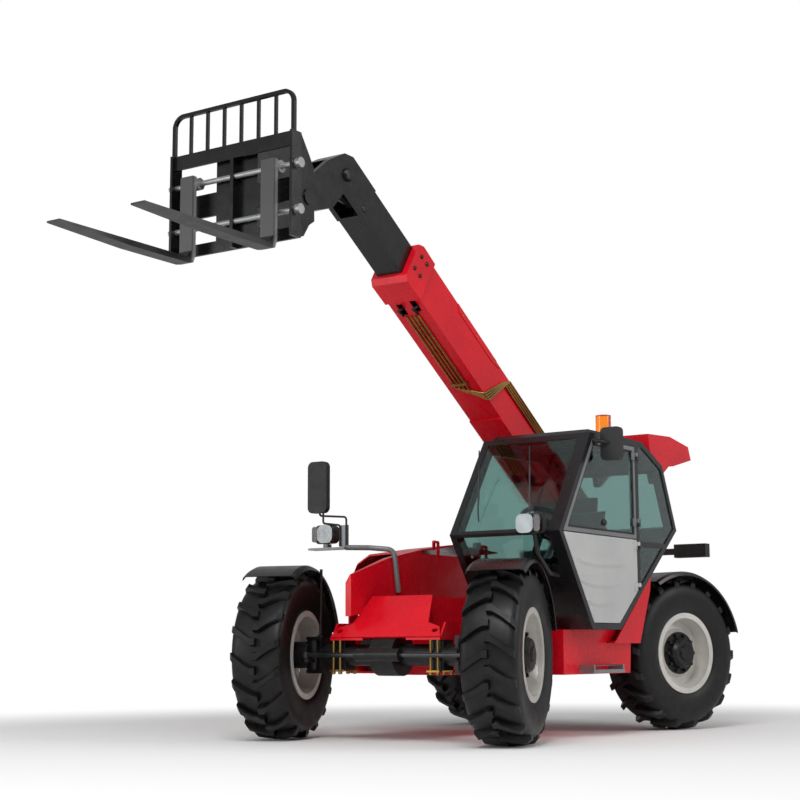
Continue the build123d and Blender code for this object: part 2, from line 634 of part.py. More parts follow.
def cylinder_pair(base, pin, barrel_r, rod_r, barrel_l, eye_w, rod_start):
    """Barrel and rod solids of one hydraulic cylinder from base pin to rod pin, both (x, z)."""
    plane = between(BOOM_Y, base, pin)
    span = hypot(pin[0] - base[0], pin[1] - base[1])
    axis = Plane(origin=plane.origin, z_dir=plane.x_dir)
    with BuildPart() as barrel:
        disc(axis.offset(eye_w / 2), (0, 0), barrel_r, barrel_l - eye_w / 2)
        disc(between(BOOM_Y + eye_w / 2, base, pin), (0, 0), barrel_r, eye_w)
        with BuildSketch(axis.offset(60)) as hole:
            Circle(rod_r + 0.4)
        extrude(hole.sketch, amount=barrel_l, mode=Mode.SUBTRACT)
        disc(between(BOOM_Y + eye_w, base, pin), (0, 0), 25, 2 * eye_w, Mode.SUBTRACT)
    with BuildPart() as rod:
        disc(axis.offset(rod_start), (0, 0), rod_r, span - rod_start - 10)
        disc(between(BOOM_Y + eye_w / 2, base, pin), (span, 0), rod_r + 18, eye_w)
        disc(between(BOOM_Y + eye_w, base, pin), (span, 0), 20, 2 * eye_w, Mode.SUBTRACT)
    return barrel.part, rod.part


LIFT_BASE = (LIFT_BASE_X, LIFT_BASE_Z)
LIFT_EYE = boom_point(LIFT_EYE_U, LIFT_EYE_V)
lift_barrel, lift_rod = cylinder_pair(LIFT_BASE, LIFT_EYE, 68, 38, 900, 110, 470)
lift_barrel.label = "lift_barrel"
export_step(lift_barrel, "parts/lift_barrel.step")
lift_rod.label = "lift_rod"
export_step(lift_rod, "parts/lift_rod.step")

TILT_BASE = boom_point(TILT_BASE_U, 0)
tilt_barrel, tilt_rod = cylinder_pair(TILT_BASE, (ROD_PIN_X, ROD_PIN_Z), 46, 25, 560, 80, 310)
tilt_barrel.label = "tilt_barrel"
export_step(tilt_barrel, "parts/tilt_barrel.step")
tilt_rod.label = "tilt_rod"
export_step(tilt_rod, "parts/tilt_rod.step")


# ---------------------------------------------------------------- carriage
HITCH = [(1200, 4190), (1110, 4060), (1060, 3980), (1050, 3600), (1110, 3560), (1170, 3470), (1250, 3440),
         (CARRIAGE_X - 70, 3440), (CARRIAGE_X - 70, 4000), (1290, 4190)]
RAIL_Z = 3910
SHAFT_Z = (3790, 3480)
with BuildPart() as carriage_frame:
    for y in (BOOM_Y + 178, BOOM_Y - 150):
        slab(side(y), HITCH, 28)
    for y in (BOOM_Y + CARRIAGE_W / 2, BOOM_Y - CARRIAGE_W / 2 + 20):
        slab(side(y), oblong(CARRIAGE_X - 90, CARRIAGE_X + 10, CARRIAGE_BASE + 60, RAIL_Z + 100), 20)
    top = BOOM_Y + CARRIAGE_W / 2 - 10
    block(CARRIAGE_X - 30, CARRIAGE_X - 14, top, top - CARRIAGE_W + 20, RAIL_Z, RAIL_Z + 100)
    block(CARRIAGE_X - 90, CARRIAGE_X - 70, top, top - CARRIAGE_W + 20, 3560, 3720)
    block(CARRIAGE_X - 90, CARRIAGE_X - 70, top, top - CARRIAGE_W + 20, CARRIAGE_BASE + 60, CARRIAGE_BASE + 140)
    block(CARRIAGE_X - 90, CARRIAGE_X - 14, BOOM_Y - 14, BOOM_Y + 14, CARRIAGE_BASE + 60, RAIL_Z + 10)
    block(CARRIAGE_X - 90, CARRIAGE_X - 70, BOOM_Y - 178, BOOM_Y + 178, CARRIAGE_BASE + 100, 3960)
    disc(side(BOOM_Y + 190), TILT_PIN, 29.5, 380)
    for y in (BOOM_Y + 190, BOOM_Y - 165):
        disc(side(y), TILT_PIN, 56, 25)
    for y in (BOOM_Y + 80, BOOM_Y - 52):
        slab(side(y), [(ROD_PIN_X - 50, ROD_PIN_Z - 50), (ROD_PIN_X - 50, ROD_PIN_Z + 50),
                       (ROD_PIN_X + 60, ROD_PIN_Z + 70), (CARRIAGE_X - 80, ROD_PIN_Z - 60),
                       (CARRIAGE_X - 80, 3700)], 28)
    for z in SHAFT_Z:
        disc(side(BOOM_Y + CARRIAGE_W / 2 + 20), (CARRIAGE_X - 40, z), 19, CARRIAGE_W + 40, Mode.SUBTRACT)
carriage_frame.part.label = "carriage_frame"
export_step(carriage_frame.part, "parts/carriage_frame.step")

with BuildPart() as load_guard:
    half = CARRIAGE_W / 2 - 12
    base = RAIL_Z + 100.3
    guard_x = FRONT_X + CARRIAGE_X - 22
    with BuildLine() as hoop:
        FilletPolyline((guard_x, BOOM_Y + half, base), (guard_x, BOOM_Y + half, GUARD_TOP),
                       (guard_x, BOOM_Y - half, GUARD_TOP), (guard_x, BOOM_Y - half, base),
                       radius=80)
    with BuildSketch(hoop.line ^ 0) as bar:
        Rectangle(26, 26)
    sweep(bar.sketch, path=hoop.line)
    for index in range(6):
        y = BOOM_Y - half + 2 * half * (index + 1) / 7
        block(CARRIAGE_X - 32, CARRIAGE_X - 12, y - 10, y + 10, base, GUARD_TOP)
load_guard.part.label = "load_guard"
export_step(load_guard.part, "parts/load_guard.step")

with BuildPart() as fork_shafts:
    for z in SHAFT_Z:
        disc(side(BOOM_Y + CARRIAGE_W / 2 + 40), (CARRIAGE_X - 40, z), 18.7, CARRIAGE_W + 80)
        disc(side(BOOM_Y + CARRIAGE_W / 2 + 40), (CARRIAGE_X - 40, z), 34, 39)
fork_shafts.part.label = "fork_shafts"
export_step(fork_shafts.part, "parts/fork_shafts.step")

HEEL_Z = CARRIAGE_BASE - 20
FORK = [
    # x, z
    (CARRIAGE_X, 3830),
    (CARRIAGE_X, HEEL_Z + 60),
    (CARRIAGE_X + 20, HEEL_Z + 10),
    (CARRIAGE_X + 70, HEEL_Z),
    (CARRIAGE_X + 600, HEEL_Z),
    (FORK_TIP, HEEL_Z + FORK_T - 12),
    (FORK_TIP, HEEL_Z + FORK_T),
    (CARRIAGE_X + FORK_T + 50, HEEL_Z + FORK_T),
    (CARRIAGE_X + FORK_T, HEEL_Z + FORK_T + 50),
    (CARRIAGE_X + FORK_T, 3830),
]
with BuildPart() as forks:
    for flip in (1, -1):
        middle = BOOM_Y + flip * FORK_SPREAD / 2
        slab(side(middle + FORK_W / 2), FORK, FORK_W)
        disc(side(middle + FORK_W / 2), (CARRIAGE_X - 40, SHAFT_Z[0]), 42, FORK_W)
        disc(side(middle + FORK_W / 2), (CARRIAGE_X - 40, SHAFT_Z[0]), 19, FORK_W, Mode.SUBTRACT)
        block(CARRIAGE_X - 20, CARRIAGE_X, middle - 30, middle + 30, SHAFT_Z[1] - 40, SHAFT_Z[1] + 40)
        disc(side(middle + FORK_W / 2), (CARRIAGE_X - 40, SHAFT_Z[1]), 19, FORK_W, Mode.SUBTRACT)
forks.part.label = "forks"
export_step(forks.part, "parts/forks.step")


# ---------------------------------------------------------------- wheels
HALF = TYRE_WIDTH / 2
BEAD_Y = 170
TREAD = TYRE_RADIUS - LUG_HEIGHT
TYRE = [(-BEAD_Y, RIM_RADIUS + 1), (-BEAD_Y, FLANGE_RADIUS + 3), (-HALF, 440), (8 - HALF, 545), (-155, TREAD),
        (155, TREAD), (HALF - 8, 545), (HALF, 440), (BEAD_Y, FLANGE_RADIUS + 3), (BEAD_Y, RIM_RADIUS + 1)]
LUG = [(6, TREAD - 16), (6, TYRE_RADIUS - 0.5), (186, TYRE_RADIUS - 12.5), (224, 560), (190, 520)]
CENTRE_Y = TRACK / 2 - KINGPIN_Y
RIM = [(-184, RIM_RADIUS), (-184, FLANGE_RADIUS), (-BEAD_Y - 0.3, FLANGE_RADIUS), (-BEAD_Y - 0.3, RIM_RADIUS - 0.3),
       (BEAD_Y + 0.3, RIM_RADIUS - 0.3), (BEAD_Y + 0.3, FLANGE_RADIUS), (184, FLANGE_RADIUS), (184, 284), (150, 284),
       (60, 268), (70, 200), (96, 172), (96, 30), (80, 30), (80, 150), (50, 190), (40, 262), (-20, 286),
       (-184, 286)]
HUB = [(96.3, 0), (96.3, 172), (112, 172), (112, 128), (150, 122), (176, 104), (176, 62), (190, 55), (190, 0)]
HUB_NUTS = 10


def turned(points, arc=360):
    """Revolve (y, radius) points about the wheel's axis."""
    revolve(outline(Plane.YZ, points), axis=Axis.Y, revolution_arc=arc)


with BuildPart() as wedge:
    extrude(outline(Plane.YZ, TYRE), amount=TYRE_RADIUS, both=True)
    for turn, keep in ((-180 / TYRE_FACETS, Keep.TOP), (180 / TYRE_FACETS, Keep.BOTTOM)):
        split(bisect_by=Plane(origin=(0, 0, 0), z_dir=(1, 0, 0)).rotated((0, turn, 0)), keep=keep)
    split(bisect_by=Plane.XY, keep=Keep.TOP)

with BuildPart() as lug:
    extrude(outline(Plane.YZ, LUG), amount=26, both=True)

with BuildPart() as tyre:
    add([Rot(0, index * 360 / TYRE_FACETS, 0) * wedge.part for index in range(TYRE_FACETS)])
    pitch = 360 / LUGS_PER_SIDE
    for index in range(LUGS_PER_SIDE):
        add(Rot(0, index * pitch, 0) * (Rot(0, 0, 31) * lug.part))
        add(Rot(0, (index + 0.5) * pitch, 0) * (Rot(0, 0, -31) * lug.part.mirror(Plane.XZ)))

with BuildPart() as rim:
    turned(RIM)

with BuildPart() as hub:
    turned(HUB)
    with BuildSketch(Plane.XZ.offset(-110)) as nuts:
        with PolarLocations(148, HUB_NUTS):
            RegularPolygon(15, 6)
    extrude(nuts.sketch, amount=-26)

with BuildPart() as knuckle:
    with Locations((0, -CENTRE_Y, 0)):
        Cylinder(56, 219.4)
    with Locations(Location((0, -67.65, 0), (90, 0, 0))):
        Cylinder(98, 294.7)
    with Locations((STEER_ARM / 2, -CENTRE_Y, -40)):
        Box(STEER_ARM, 46, 26)
    with Locations((STEER_ARM, -CENTRE_Y, -40)):
        Cylinder(30, 26)

EDGE = FENDER_WIDTH / 2
FENDER = [
    # distance from the middle, height over the fender's radius
    (-EDGE, -28), (10 - EDGE, -5), (35 - EDGE, 7), (EDGE - 35, 7), (EDGE - 10, -5), (EDGE, -28),
    (EDGE - 6, -30), (EDGE - 15, -10), (EDGE - 37, 0), (37 - EDGE, 0), (15 - EDGE, -10), (6 - EDGE, -30),
]
STAY = [(-40, -160, 60), (-150, -160, 95), (-170, -222, 150), (-180, -222, 400), (-180, -222, 645)]
with BuildPart() as fender:
    turned([(y, FENDER_RADIUS + high) for y, high in FENDER], FENDER_ARC)
    add(Rot(0, FENDER_FRONT - FENDER_ARC, 0) * fender.part, mode=Mode.REPLACE)
    with BuildLine() as stay:
        FilletPolyline(*STAY, radius=22)
    with BuildSketch(stay.line ^ 0) as ring:
        Circle(11)
    sweep(ring.sketch, path=stay.line)
    with Locations(Location((0, -67.65, 0), (90, 0, 0))):
        Cylinder(98.3, 294.7, mode=Mode.SUBTRACT)

CORNERS = [
    # name, axle x, side, steer angle
    ("front_left", 0, 1, FRONT_STEER),
    ("front_right", 0, -1, FRONT_STEER),
    ("rear_left", REAR_X, 1, REAR_STEER),
    ("rear_right", REAR_X, -1, REAR_STEER),
]
for name, axle_x, flip, steer in CORNERS:
    forms = {
        "tyre": tyre.part,
        "rim": rim.part,
        "hub": hub.part,
        "knuckle": knuckle.part.mirror(Plane.YZ) if axle_x else knuckle.part,
        "fender": fender.part,
    }
    kingpin = Location((FRONT_X + axle_x, flip * KINGPIN_Y, AXLE_Z), (0, 0, steer))
    place = kingpin * Location((0, flip * CENTRE_Y, 0))
    for kind, form in forms.items():
        piece = place * (form if flip == 1 else form.mirror(Plane.XZ))
        piece.label = f"{kind}_{name}"
        export_step(piece, f"parts/{kind}_{name}.step")

RODS = [
    # name, axle x, direction of the steering arms, steer angle
    ("front_steer_rod", 0, 1, FRONT_STEER),
    ("rear_steer_rod", REAR_X, -1, REAR_STEER),
]
for name, axle_x, lead, steer in RODS:
    x = axle_x + lead * STEER_ARM
    shift = lead * STEER_ARM * radians(steer) * 0.94
    with BuildPart() as steer_rod:
        disc(side(KINGPIN_Y + shift), (x, AXLE_Z), 16, 2 * KINGPIN_Y)
        for y in (KINGPIN_Y + shift, -KINGPIN_Y + shift):
            pillar(x, y, AXLE_Z - 21, AXLE_Z + 22, 30)
    steer_rod.part.label = name
    export_step(steer_rod.part, f"parts/{name}.step")
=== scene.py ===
import json
import math

import bmesh
import bpy
from mathutils import Matrix, Vector


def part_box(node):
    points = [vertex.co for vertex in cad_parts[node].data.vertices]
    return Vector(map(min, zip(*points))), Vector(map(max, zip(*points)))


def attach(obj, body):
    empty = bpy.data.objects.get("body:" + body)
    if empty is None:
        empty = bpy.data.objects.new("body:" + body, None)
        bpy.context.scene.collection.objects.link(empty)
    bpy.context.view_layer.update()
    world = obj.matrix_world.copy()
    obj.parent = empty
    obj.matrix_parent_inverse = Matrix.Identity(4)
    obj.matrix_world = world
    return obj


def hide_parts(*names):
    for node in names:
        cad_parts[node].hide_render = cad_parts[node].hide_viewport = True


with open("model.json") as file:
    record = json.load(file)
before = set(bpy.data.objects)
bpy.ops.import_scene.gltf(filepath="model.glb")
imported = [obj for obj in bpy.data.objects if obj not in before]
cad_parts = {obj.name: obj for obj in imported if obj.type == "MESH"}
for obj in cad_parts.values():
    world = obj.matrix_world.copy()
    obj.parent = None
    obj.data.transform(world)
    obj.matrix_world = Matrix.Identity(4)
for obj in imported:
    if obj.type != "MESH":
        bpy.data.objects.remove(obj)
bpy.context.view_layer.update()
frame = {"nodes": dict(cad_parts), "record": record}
nodes = frame["nodes"]
print("frame loaded:", len(nodes), "nodes")


def linearColour(hexCode):
    channels = [int(hexCode[i:i + 2], 16) / 255 for i in (1, 3, 5)]
    return tuple(c / 12.92 if c <= 0.04045 else ((c + 0.055) / 1.055) ** 2.4
                 for c in channels) + (1.0,)


# settings are properties or sockets' values; a socket goes by its name or its number
def addNode(tree, kind, settings=None, links=None):
    node = tree.nodes.new(kind)
    for key, value in (settings or {}).items():
        if isinstance(key, int) or key in node.inputs:
            node.inputs[key].default_value = value
        else:
            setattr(node, key, value)
    for key, source in (links or {}).items():
        tree.links.new(source, node.inputs[key])
    return node


def newMaterial(name):
    material = bpy.data.materials.new(name)
    material.use_nodes = True
    tree = material.node_tree
    tree.nodes.clear()
    place = addNode(tree, "ShaderNodeTexCoord").outputs["Object"]
    shader = addNode(tree, "ShaderNodeBsdfPrincipled")
    addNode(tree, "ShaderNodeOutputMaterial", links={"Surface": shader.outputs["BSDF"]})
    return material, tree, place, shader


# grey mask from noise whose blobs are about sizeMm across
def noiseMask(tree, place, sizeMm, low, high, detail):
    noise = addNode(tree, "ShaderNodeTexNoise", {"Scale": 1000 / sizeMm, "Detail": detail},
                    {"Vector": place})
    return addNode(tree, "ShaderNodeMapRange", {"From Min": low, "From Max": high},
                   {"Value": noise.outputs["Fac"]}).outputs["Result"]


# numbers of a mix node's colour sockets
firstColour, secondColour, mixedColour = 6, 7, 2


finishSettings = {
    # gloss enamel sprayed on steel: deep colour, clear highlights, faint orange peel
    "redEnamel": {
        "colour": "#DC0820", "shade": "#C8061C", "roughness": 0.28, "metallic": 0.0, "coat": 0.1,
        "specular": 0.3, "grainMm": 9, "bump": 0.015, "dust": 0.05},
    # semi-gloss chassis black on welded steel
    "blackEnamel": {
        "colour": "#0B0B0D", "shade": "#070708", "roughness": 0.26, "metallic": 0.0, "coat": 0.15,
        "specular": 0.4, "grainMm": 8, "bump": 0.02, "dust": 0.04},
    # graphite powder coat of the cab tubes, fine texture
    "graphitePowder": {
        "colour": "#141518", "shade": "#101113", "roughness": 0.3, "metallic": 0.0, "coat": 0.1,
        "grainMm": 2, "bump": 0.06, "dust": 0.10},
    # pale grey lacquer of the door frames
    "paleGreyLacquer": {
        "colour": "#77797C", "shade": "#6B6D70", "roughness": 0.36, "metallic": 0.15,
        "coat": 0.25, "grainMm": 4, "bump": 0.03, "dust": 0.08},
    # silver lacquer of the lower door skin
    "silverDoorSkin": {
        "colour": "#C3C3C2", "shade": "#B7B8B8", "roughness": 0.38, "metallic": 0.2, "coat": 0.2,
        "grainMm": 4, "bump": 0.02, "dust": 0.08},
    # silver enamel on pressed wheel discs
    "silverWheelEnamel": {
        "colour": "#D2CFC9", "shade": "#C2BFB9", "roughness": 0.38, "metallic": 0.25,
        "coat": 0.15, "grainMm": 5, "bump": 0.05, "dust": 0.25},
    # rough castings under thin black paint
    "blackCasting": {
        "colour": "#0E0E10", "shade": "#09090A", "roughness": 0.38, "metallic": 0.1, "coat": 0.0,
        "specular": 0.4, "grainMm": 3, "bump": 0.25, "dust": 0.06},
    # bare grey iron of the engine
    "engineIron": {
        "colour": "#303134", "shade": "#242527", "roughness": 0.5, "metallic": 0.4, "coat": 0.0,
        "grainMm": 3, "bump": 0.35, "dust": 0.20},
    # yellow passivated zinc on pipes, pins and bolts
    "yellowZinc": {
        "colour": "#B8934C", "shade": "#8F7440", "roughness": 0.33, "metallic": 0.9, "coat": 0.0,
        "grainMm": 14, "bump": 0.02, "dust": 0.10},
    # hard chrome on piston rods
    "hardChrome": {
        "colour": "#D8D9DB", "shade": "#C9CACC", "roughness": 0.12, "metallic": 1.0, "coat": 0.0,
        "grainMm": 20, "bump": 0.0, "dust": 0.03},
    # plated steering rod drawn dark: its colour is painted shade from under the machine
    "rodInPaintedShade": {
        "colour": "#46484B", "shade": "#37393B", "roughness": 0.3, "metallic": 0.8, "coat": 0.0,
        "grainMm": 12, "bump": 0.03, "dust": 0.05},
    # gloss black on cylinder barrels
    "blackBarrelPaint": {
        "colour": "#141517", "shade": "#0D0E0F", "roughness": 0.25, "metallic": 0.0, "coat": 0.4,
        "grainMm": 6, "bump": 0.03, "dust": 0.08},
    # hot-dip galvanised steel of step, exhaust and fork shafts
    "galvanisedSteel": {
        "colour": "#A7A9AA", "shade": "#8A8C8E", "roughness": 0.42, "metallic": 0.85,
        "coat": 0.0, "grainMm": 12, "bump": 0.06, "dust": 0.18},
    # grey lacquer of the lamp arm
    "armGreyLacquer": {
        "colour": "#7D7F82", "shade": "#6C6E71", "roughness": 0.35, "metallic": 0.2, "coat": 0.2,
        "grainMm": 5, "bump": 0.03, "dust": 0.08},
    # vapour-plated reflector close behind a clear cover
    "platedLamp": {
        "colour": "#6C7173", "shade": "#4C5052", "roughness": 0.2, "metallic": 0.9, "coat": 0.6,
        "grainMm": 34, "bump": 1.0, "dust": 0.03},
    # black enamel of the fork blades, rubbed to bare steel on the shanks
    "rubbedForkSteel": {
        "colour": "#141517", "shade": "#0E0F10", "roughness": 0.34, "metallic": 0.2, "coat": 0.1,
        "grainMm": 7, "bump": 0.08, "dust": 0.05, "bare": "#8E8D8C", "bareX": (2.2, 2.17)},
    # grained injection-moulded ABS of mirrors, lamp bodies and console
    "grainedAbs": {
        "colour": "#1B1C1E", "shade": "#141516", "roughness": 0.5, "metallic": 0.0, "coat": 0.0,
        "grainMm": 1.6, "bump": 0.25, "dust": 0.08},
    # rotation-moulded polyethylene mudguards, slightly waxy
    "mouldedMudguard": {
        "colour": "#0F1011", "shade": "#0B0B0C", "roughness": 0.3, "metallic": 0.0, "coat": 0.1,
        "grainMm": 2.5, "bump": 0.12, "dust": 0.16},
    # natural rubber with carbon black: dull, with a faint sheen
    "tyreRubber": {
        "colour": "#09090A", "shade": "#060607", "roughness": 0.42, "metallic": 0.0, "coat": 0.0,
        "specular": 0.34, "grainMm": 4, "bump": 0.12, "dust": 0.04},
    # soft black rubber of hoses and seals
    "hoseRubber": {
        "colour": "#151516", "shade": "#0E0E0F", "roughness": 0.55, "metallic": 0.0, "coat": 0.0,
        "grainMm": 2, "bump": 0.1, "dust": 0.08},
}
# shared by the painted finishes: noise as (millimetres, low, high, detail), heights in metres
paintSettings = {
    "blotch": (420, 0.35, 0.7, 3.0), "speck": (60, 0.42, 0.75, 6.0), "wear": (90, 0.3, 0.8, 5.0),
    "dustColour": "#8A8074", "dustTop": 1.5, "dustFoot": 0.1, "bareShare": 0.85,
    "smoother": 0.05, "rougher": 0.09, "coatRoughness": 0.12, "specular": 0.5, "grainDeep": 0.001,
}


def paintedFinish(name, s):
    p = paintSettings
    material, tree, place, shader = newMaterial(name)
    tone = addNode(tree, "ShaderNodeMix", {
        "data_type": "RGBA", firstColour: linearColour(s["colour"]),
        secondColour: linearColour(s["shade"])}, {"Factor": noiseMask(tree, place, *p["blotch"])})
    # dust settles low on the machine
    axes = addNode(tree, "ShaderNodeSeparateXYZ", links={"Vector": place}).outputs
    low = addNode(tree, "ShaderNodeMapRange", {
        "From Min": p["dustTop"], "From Max": p["dustFoot"], "To Max": s["dust"]},
        {"Value": axes["Z"]})
    amount = addNode(tree, "ShaderNodeMath", {"operation": "MULTIPLY"},
                     {0: low.outputs["Result"], 1: noiseMask(tree, place, *p["speck"])})
    tone = addNode(tree, "ShaderNodeMix", {
        "data_type": "RGBA", secondColour: linearColour(p["dustColour"])},
        {"Factor": amount.outputs["Value"], firstColour: tone.outputs[mixedColour]})
    if "bare" in s:  # rubbed bare between two places along X
        rubbed = addNode(tree, "ShaderNodeMapRange", {
            "From Min": s["bareX"][0], "From Max": s["bareX"][1], "To Max": p["bareShare"]},
            {"Value": axes["X"]})
        tone = addNode(tree, "ShaderNodeMix", {
            "data_type": "RGBA", secondColour: linearColour(s["bare"])},
            {"Factor": rubbed.outputs["Result"], firstColour: tone.outputs[mixedColour]})
    tree.links.new(tone.outputs[mixedColour], shader.inputs["Base Color"])
    rough = addNode(tree, "ShaderNodeMapRange", {
        "To Min": s["roughness"] - p["smoother"], "To Max": s["roughness"] + p["rougher"]},
        {"Value": noiseMask(tree, place, *p["wear"])})
    tree.links.new(rough.outputs["Result"], shader.inputs["Roughness"])
    shader.inputs["Metallic"].default_value = s["metallic"]
    shader.inputs["Coat Weight"].default_value = s["coat"]
    shader.inputs["Coat Roughness"].default_value = p["coatRoughness"]
    shader.inputs["Specular IOR Level"].default_value = s.get("specular", p["specular"])
    if s["bump"]:
        grain = addNode(tree, "ShaderNodeTexNoise", {"Scale": 1000 / s["grainMm"], "Detail": 2.0},
                        {"Vector": place})
        bump = addNode(tree, "ShaderNodeBump", {"Strength": s["bump"], "Distance": p["grainDeep"]},
                       {"Height": grain.outputs["Fac"]})
        tree.links.new(bump.outputs["Normal"], shader.inputs["Normal"])
    return material


finish = {name: paintedFinish(name, settings) for name, settings in finishSettings.items()}

glassSettings = {
    # laminated cab glass, faint green in its thickness
    "tintedCabGlass": {"colour": "#9DBAB6", "roughness": 0.02, "ior": 1.5},
    # amber polycarbonate
    "amberLens": {"colour": "#FF8A10", "roughness": 0.12, "ior": 1.58},
}
smearSettings = {"smear": (150, 0.4, 0.8, 4.0), "rougher": 0.05}


def clearFinish(name, s):
    material, tree, place, shader = newMaterial(name)
    shader.inputs["Base Color"].default_value = linearColour(s["colour"])
    shader.inputs["Transmission Weight"].default_value = 1.0
    shader.inputs["IOR"].default_value = s["ior"]
    rough = addNode(tree, "ShaderNodeMapRange", {
        "To Min": s["roughness"], "To Max": s["roughness"] + smearSettings["rougher"]},
        {"Value": noiseMask(tree, place, *smearSettings["smear"])})
    tree.links.new(rough.outputs["Result"], shader.inputs["Roughness"])
    return material


finish.update({name: clearFinish(name, settings) for name, settings in glassSettings.items()})

# woven polyester, dull and a little furry; its threads are drawn coarser than real ones, so that
# they show, and waveFactor makes half a wave of the texture about one thread wide
seatCloth = {"threadMm": 3.0, "waveFactor": 6.3, "colour": "#1E1F22", "fleck": "#34363A",
             "roughness": 0.85, "sheen": 0.3, "bump": 0.4, "bumpDeep": 0.001}


def wovenCloth(name, s):
    material, tree, place, shader = newMaterial(name)
    scale = 1000 / (s["threadMm"] * s["waveFactor"])
    warp, weft = [addNode(tree, "ShaderNodeTexWave", {"Scale": scale, "bands_direction": way},
                          {"Vector": place}).outputs["Fac"] for way in ("Y", "Z")]
    weave = addNode(tree, "ShaderNodeMath", {"operation": "MULTIPLY"},
                    {0: warp, 1: weft}).outputs["Value"]
    tone = addNode(tree, "ShaderNodeMix", {
        "data_type": "RGBA", firstColour: linearColour(s["colour"]),
        secondColour: linearColour(s["fleck"])}, {"Factor": weave})
    tree.links.new(tone.outputs[mixedColour], shader.inputs["Base Color"])
    shader.inputs["Roughness"].default_value = s["roughness"]
    shader.inputs["Sheen Weight"].default_value = s["sheen"]
    bump = addNode(tree, "ShaderNodeBump", {"Strength": s["bump"], "Distance": s["bumpDeep"]},
                   {"Height": weave})
    tree.links.new(bump.outputs["Normal"], shader.inputs["Normal"])
    return material


finish["wovenSeatCloth"] = wovenCloth("wovenSeatCloth", seatCloth)
print("finishes made:", len(finish))

nodeFinish = {
    "redEnamel": ["chassis_frame", "cab_rear_housing", "hood", "boom_outer"],
    "blackEnamel": ["boom_inner", "carriage_frame", "load_guard", "counterweight"],
    "graphitePowder": ["cab_frame", "cab_side_frame"],
    "paleGreyLacquer": ["door_upper"],
    "silverDoorSkin": ["door_lower"],
    "silverWheelEnamel": [],
    "blackCasting": ["front_axle", "rear_axle"],
    "engineIron": ["engine_block"],
    "yellowZinc": ["axle_clamps", "boom_pipes"],
    "hardChrome": ["lift_rod", "tilt_rod"],
    # the steering rods' dark colour is painted shade, not a coat of their own
    "rodInPaintedShade": ["front_steer_rod", "rear_steer_rod"],
    "blackBarrelPaint": ["lift_barrel", "tilt_barrel"],
    "galvanisedSteel": ["exhaust", "step", "fork_shafts"],
    "armGreyLacquer": ["lamp_arm"],
    "grainedAbs": ["steering_console", "headlamps", "mirrors", "rear_lamp_bar", "door_mirror"],
    "mouldedMudguard": [],
    "tyreRubber": [],
    "tintedCabGlass": ["windscreen", "cab_windows", "door_window"],
    "platedLamp": ["lamp_lenses"],
    "rubbedForkSteel": ["forks"],
    "amberLens": ["beacon", "indicator_lenses"],
    "wovenSeatCloth": ["seat"],
}
wheelSides = {"front_left": 1, "front_right": -1, "rear_left": 1, "rear_right": -1}
for corner in wheelSides:
    nodeFinish["silverWheelEnamel"].append("rim_" + corner)
    nodeFinish["blackCasting"] += ["knuckle_" + corner, "hub_" + corner]
    nodeFinish["mouldedMudguard"].append("fender_" + corner)
    nodeFinish["tyreRubber"].append("tyre_" + corner)
for finishName, members in nodeFinish.items():
    for name in members:
        mesh = nodes[name].data
        mesh.materials.clear()
        mesh.materials.append(finish[finishName])
unpainted = set(nodes) - {name for members in nodeFinish.values() for name in members}
print("nodes without a finish:", sorted(unpainted))

joints = {joint["name"]: joint for joint in frame["record"]["behaviour"]["joints"]}
frontAxle = Vector(joints["steer_front_left"]["pos_m"])
boomPivot = Vector(joints["boom_lift"]["pos_m"])
boomRise = math.radians(33)  # how steep the boom stands at rest
boomMiddle = sum(corner[1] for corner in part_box("boom_inner")) / 2
left = Vector((0, 1, 0))


# metres up the boom from its pivot, above its middle line, to the left of its middle plane
def boomAt(u, v, y):
    rise, run = math.sin(boomRise), math.cos(boomRise)
    return Vector((boomPivot.x + u * run - v * rise, boomMiddle + y,
                   boomPivot.z + u * rise + v * run))


def ahead(x, y, z):  # metres forward from the front axle
    return Vector((frontAxle.x + x, y, z))


def finishPiece(piece, body):
    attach(piece, body)


def newObject(name, data, finishName):
    piece = bpy.data.objects.new(name, data)
    bpy.context.scene.collection.objects.link(piece)
    data.materials.clear()
    data.materials.append(finish[finishName])
    return piece


def smoothMesh(mesh, angle):
    for polygon in mesh.polygons:
        polygon.use_smooth = True
    mesh.set_sharp_from_angle(angle=math.radians(angle))


def meshFrom(name, bm):
    mesh = bpy.data.meshes.new(name)
    bm.to_mesh(mesh)
    bm.free()
    return mesh


def fromBmesh(name, bm, finishName, angle=35):
    bmesh.ops.remove_doubles(bm, verts=bm.verts, dist=0.00002)
    bmesh.ops.recalc_face_normals(bm, faces=bm.faces)
    mesh = meshFrom(name, bm)
    smoothMesh(mesh, angle)
    return newObject(name, mesh, finishName)


# a node tree with named inputs, given as (name, kind) pairs
def newTree(name, inputs):
    tree = bpy.data.node_groups.new(name, "GeometryNodeTree")
    for label, kind in inputs:
        tree.interface.new_socket(label, in_out="INPUT", socket_type="NodeSocket" + kind)
    tree.interface.new_socket("Result", in_out="OUTPUT", socket_type="NodeSocketGeometry")
    return tree, addNode(tree, "NodeGroupInput").outputs


def closeTree(tree, start, geometry):
    real = addNode(tree, "GeometryNodeRealizeInstances", links={"Geometry": geometry})
    painted = addNode(tree, "GeometryNodeSetMaterial", links={
        "Geometry": real.outputs["Geometry"], "Material": start["Finish"]})
    addNode(tree, "NodeGroupOutput", links={"Result": painted.outputs["Geometry"]})


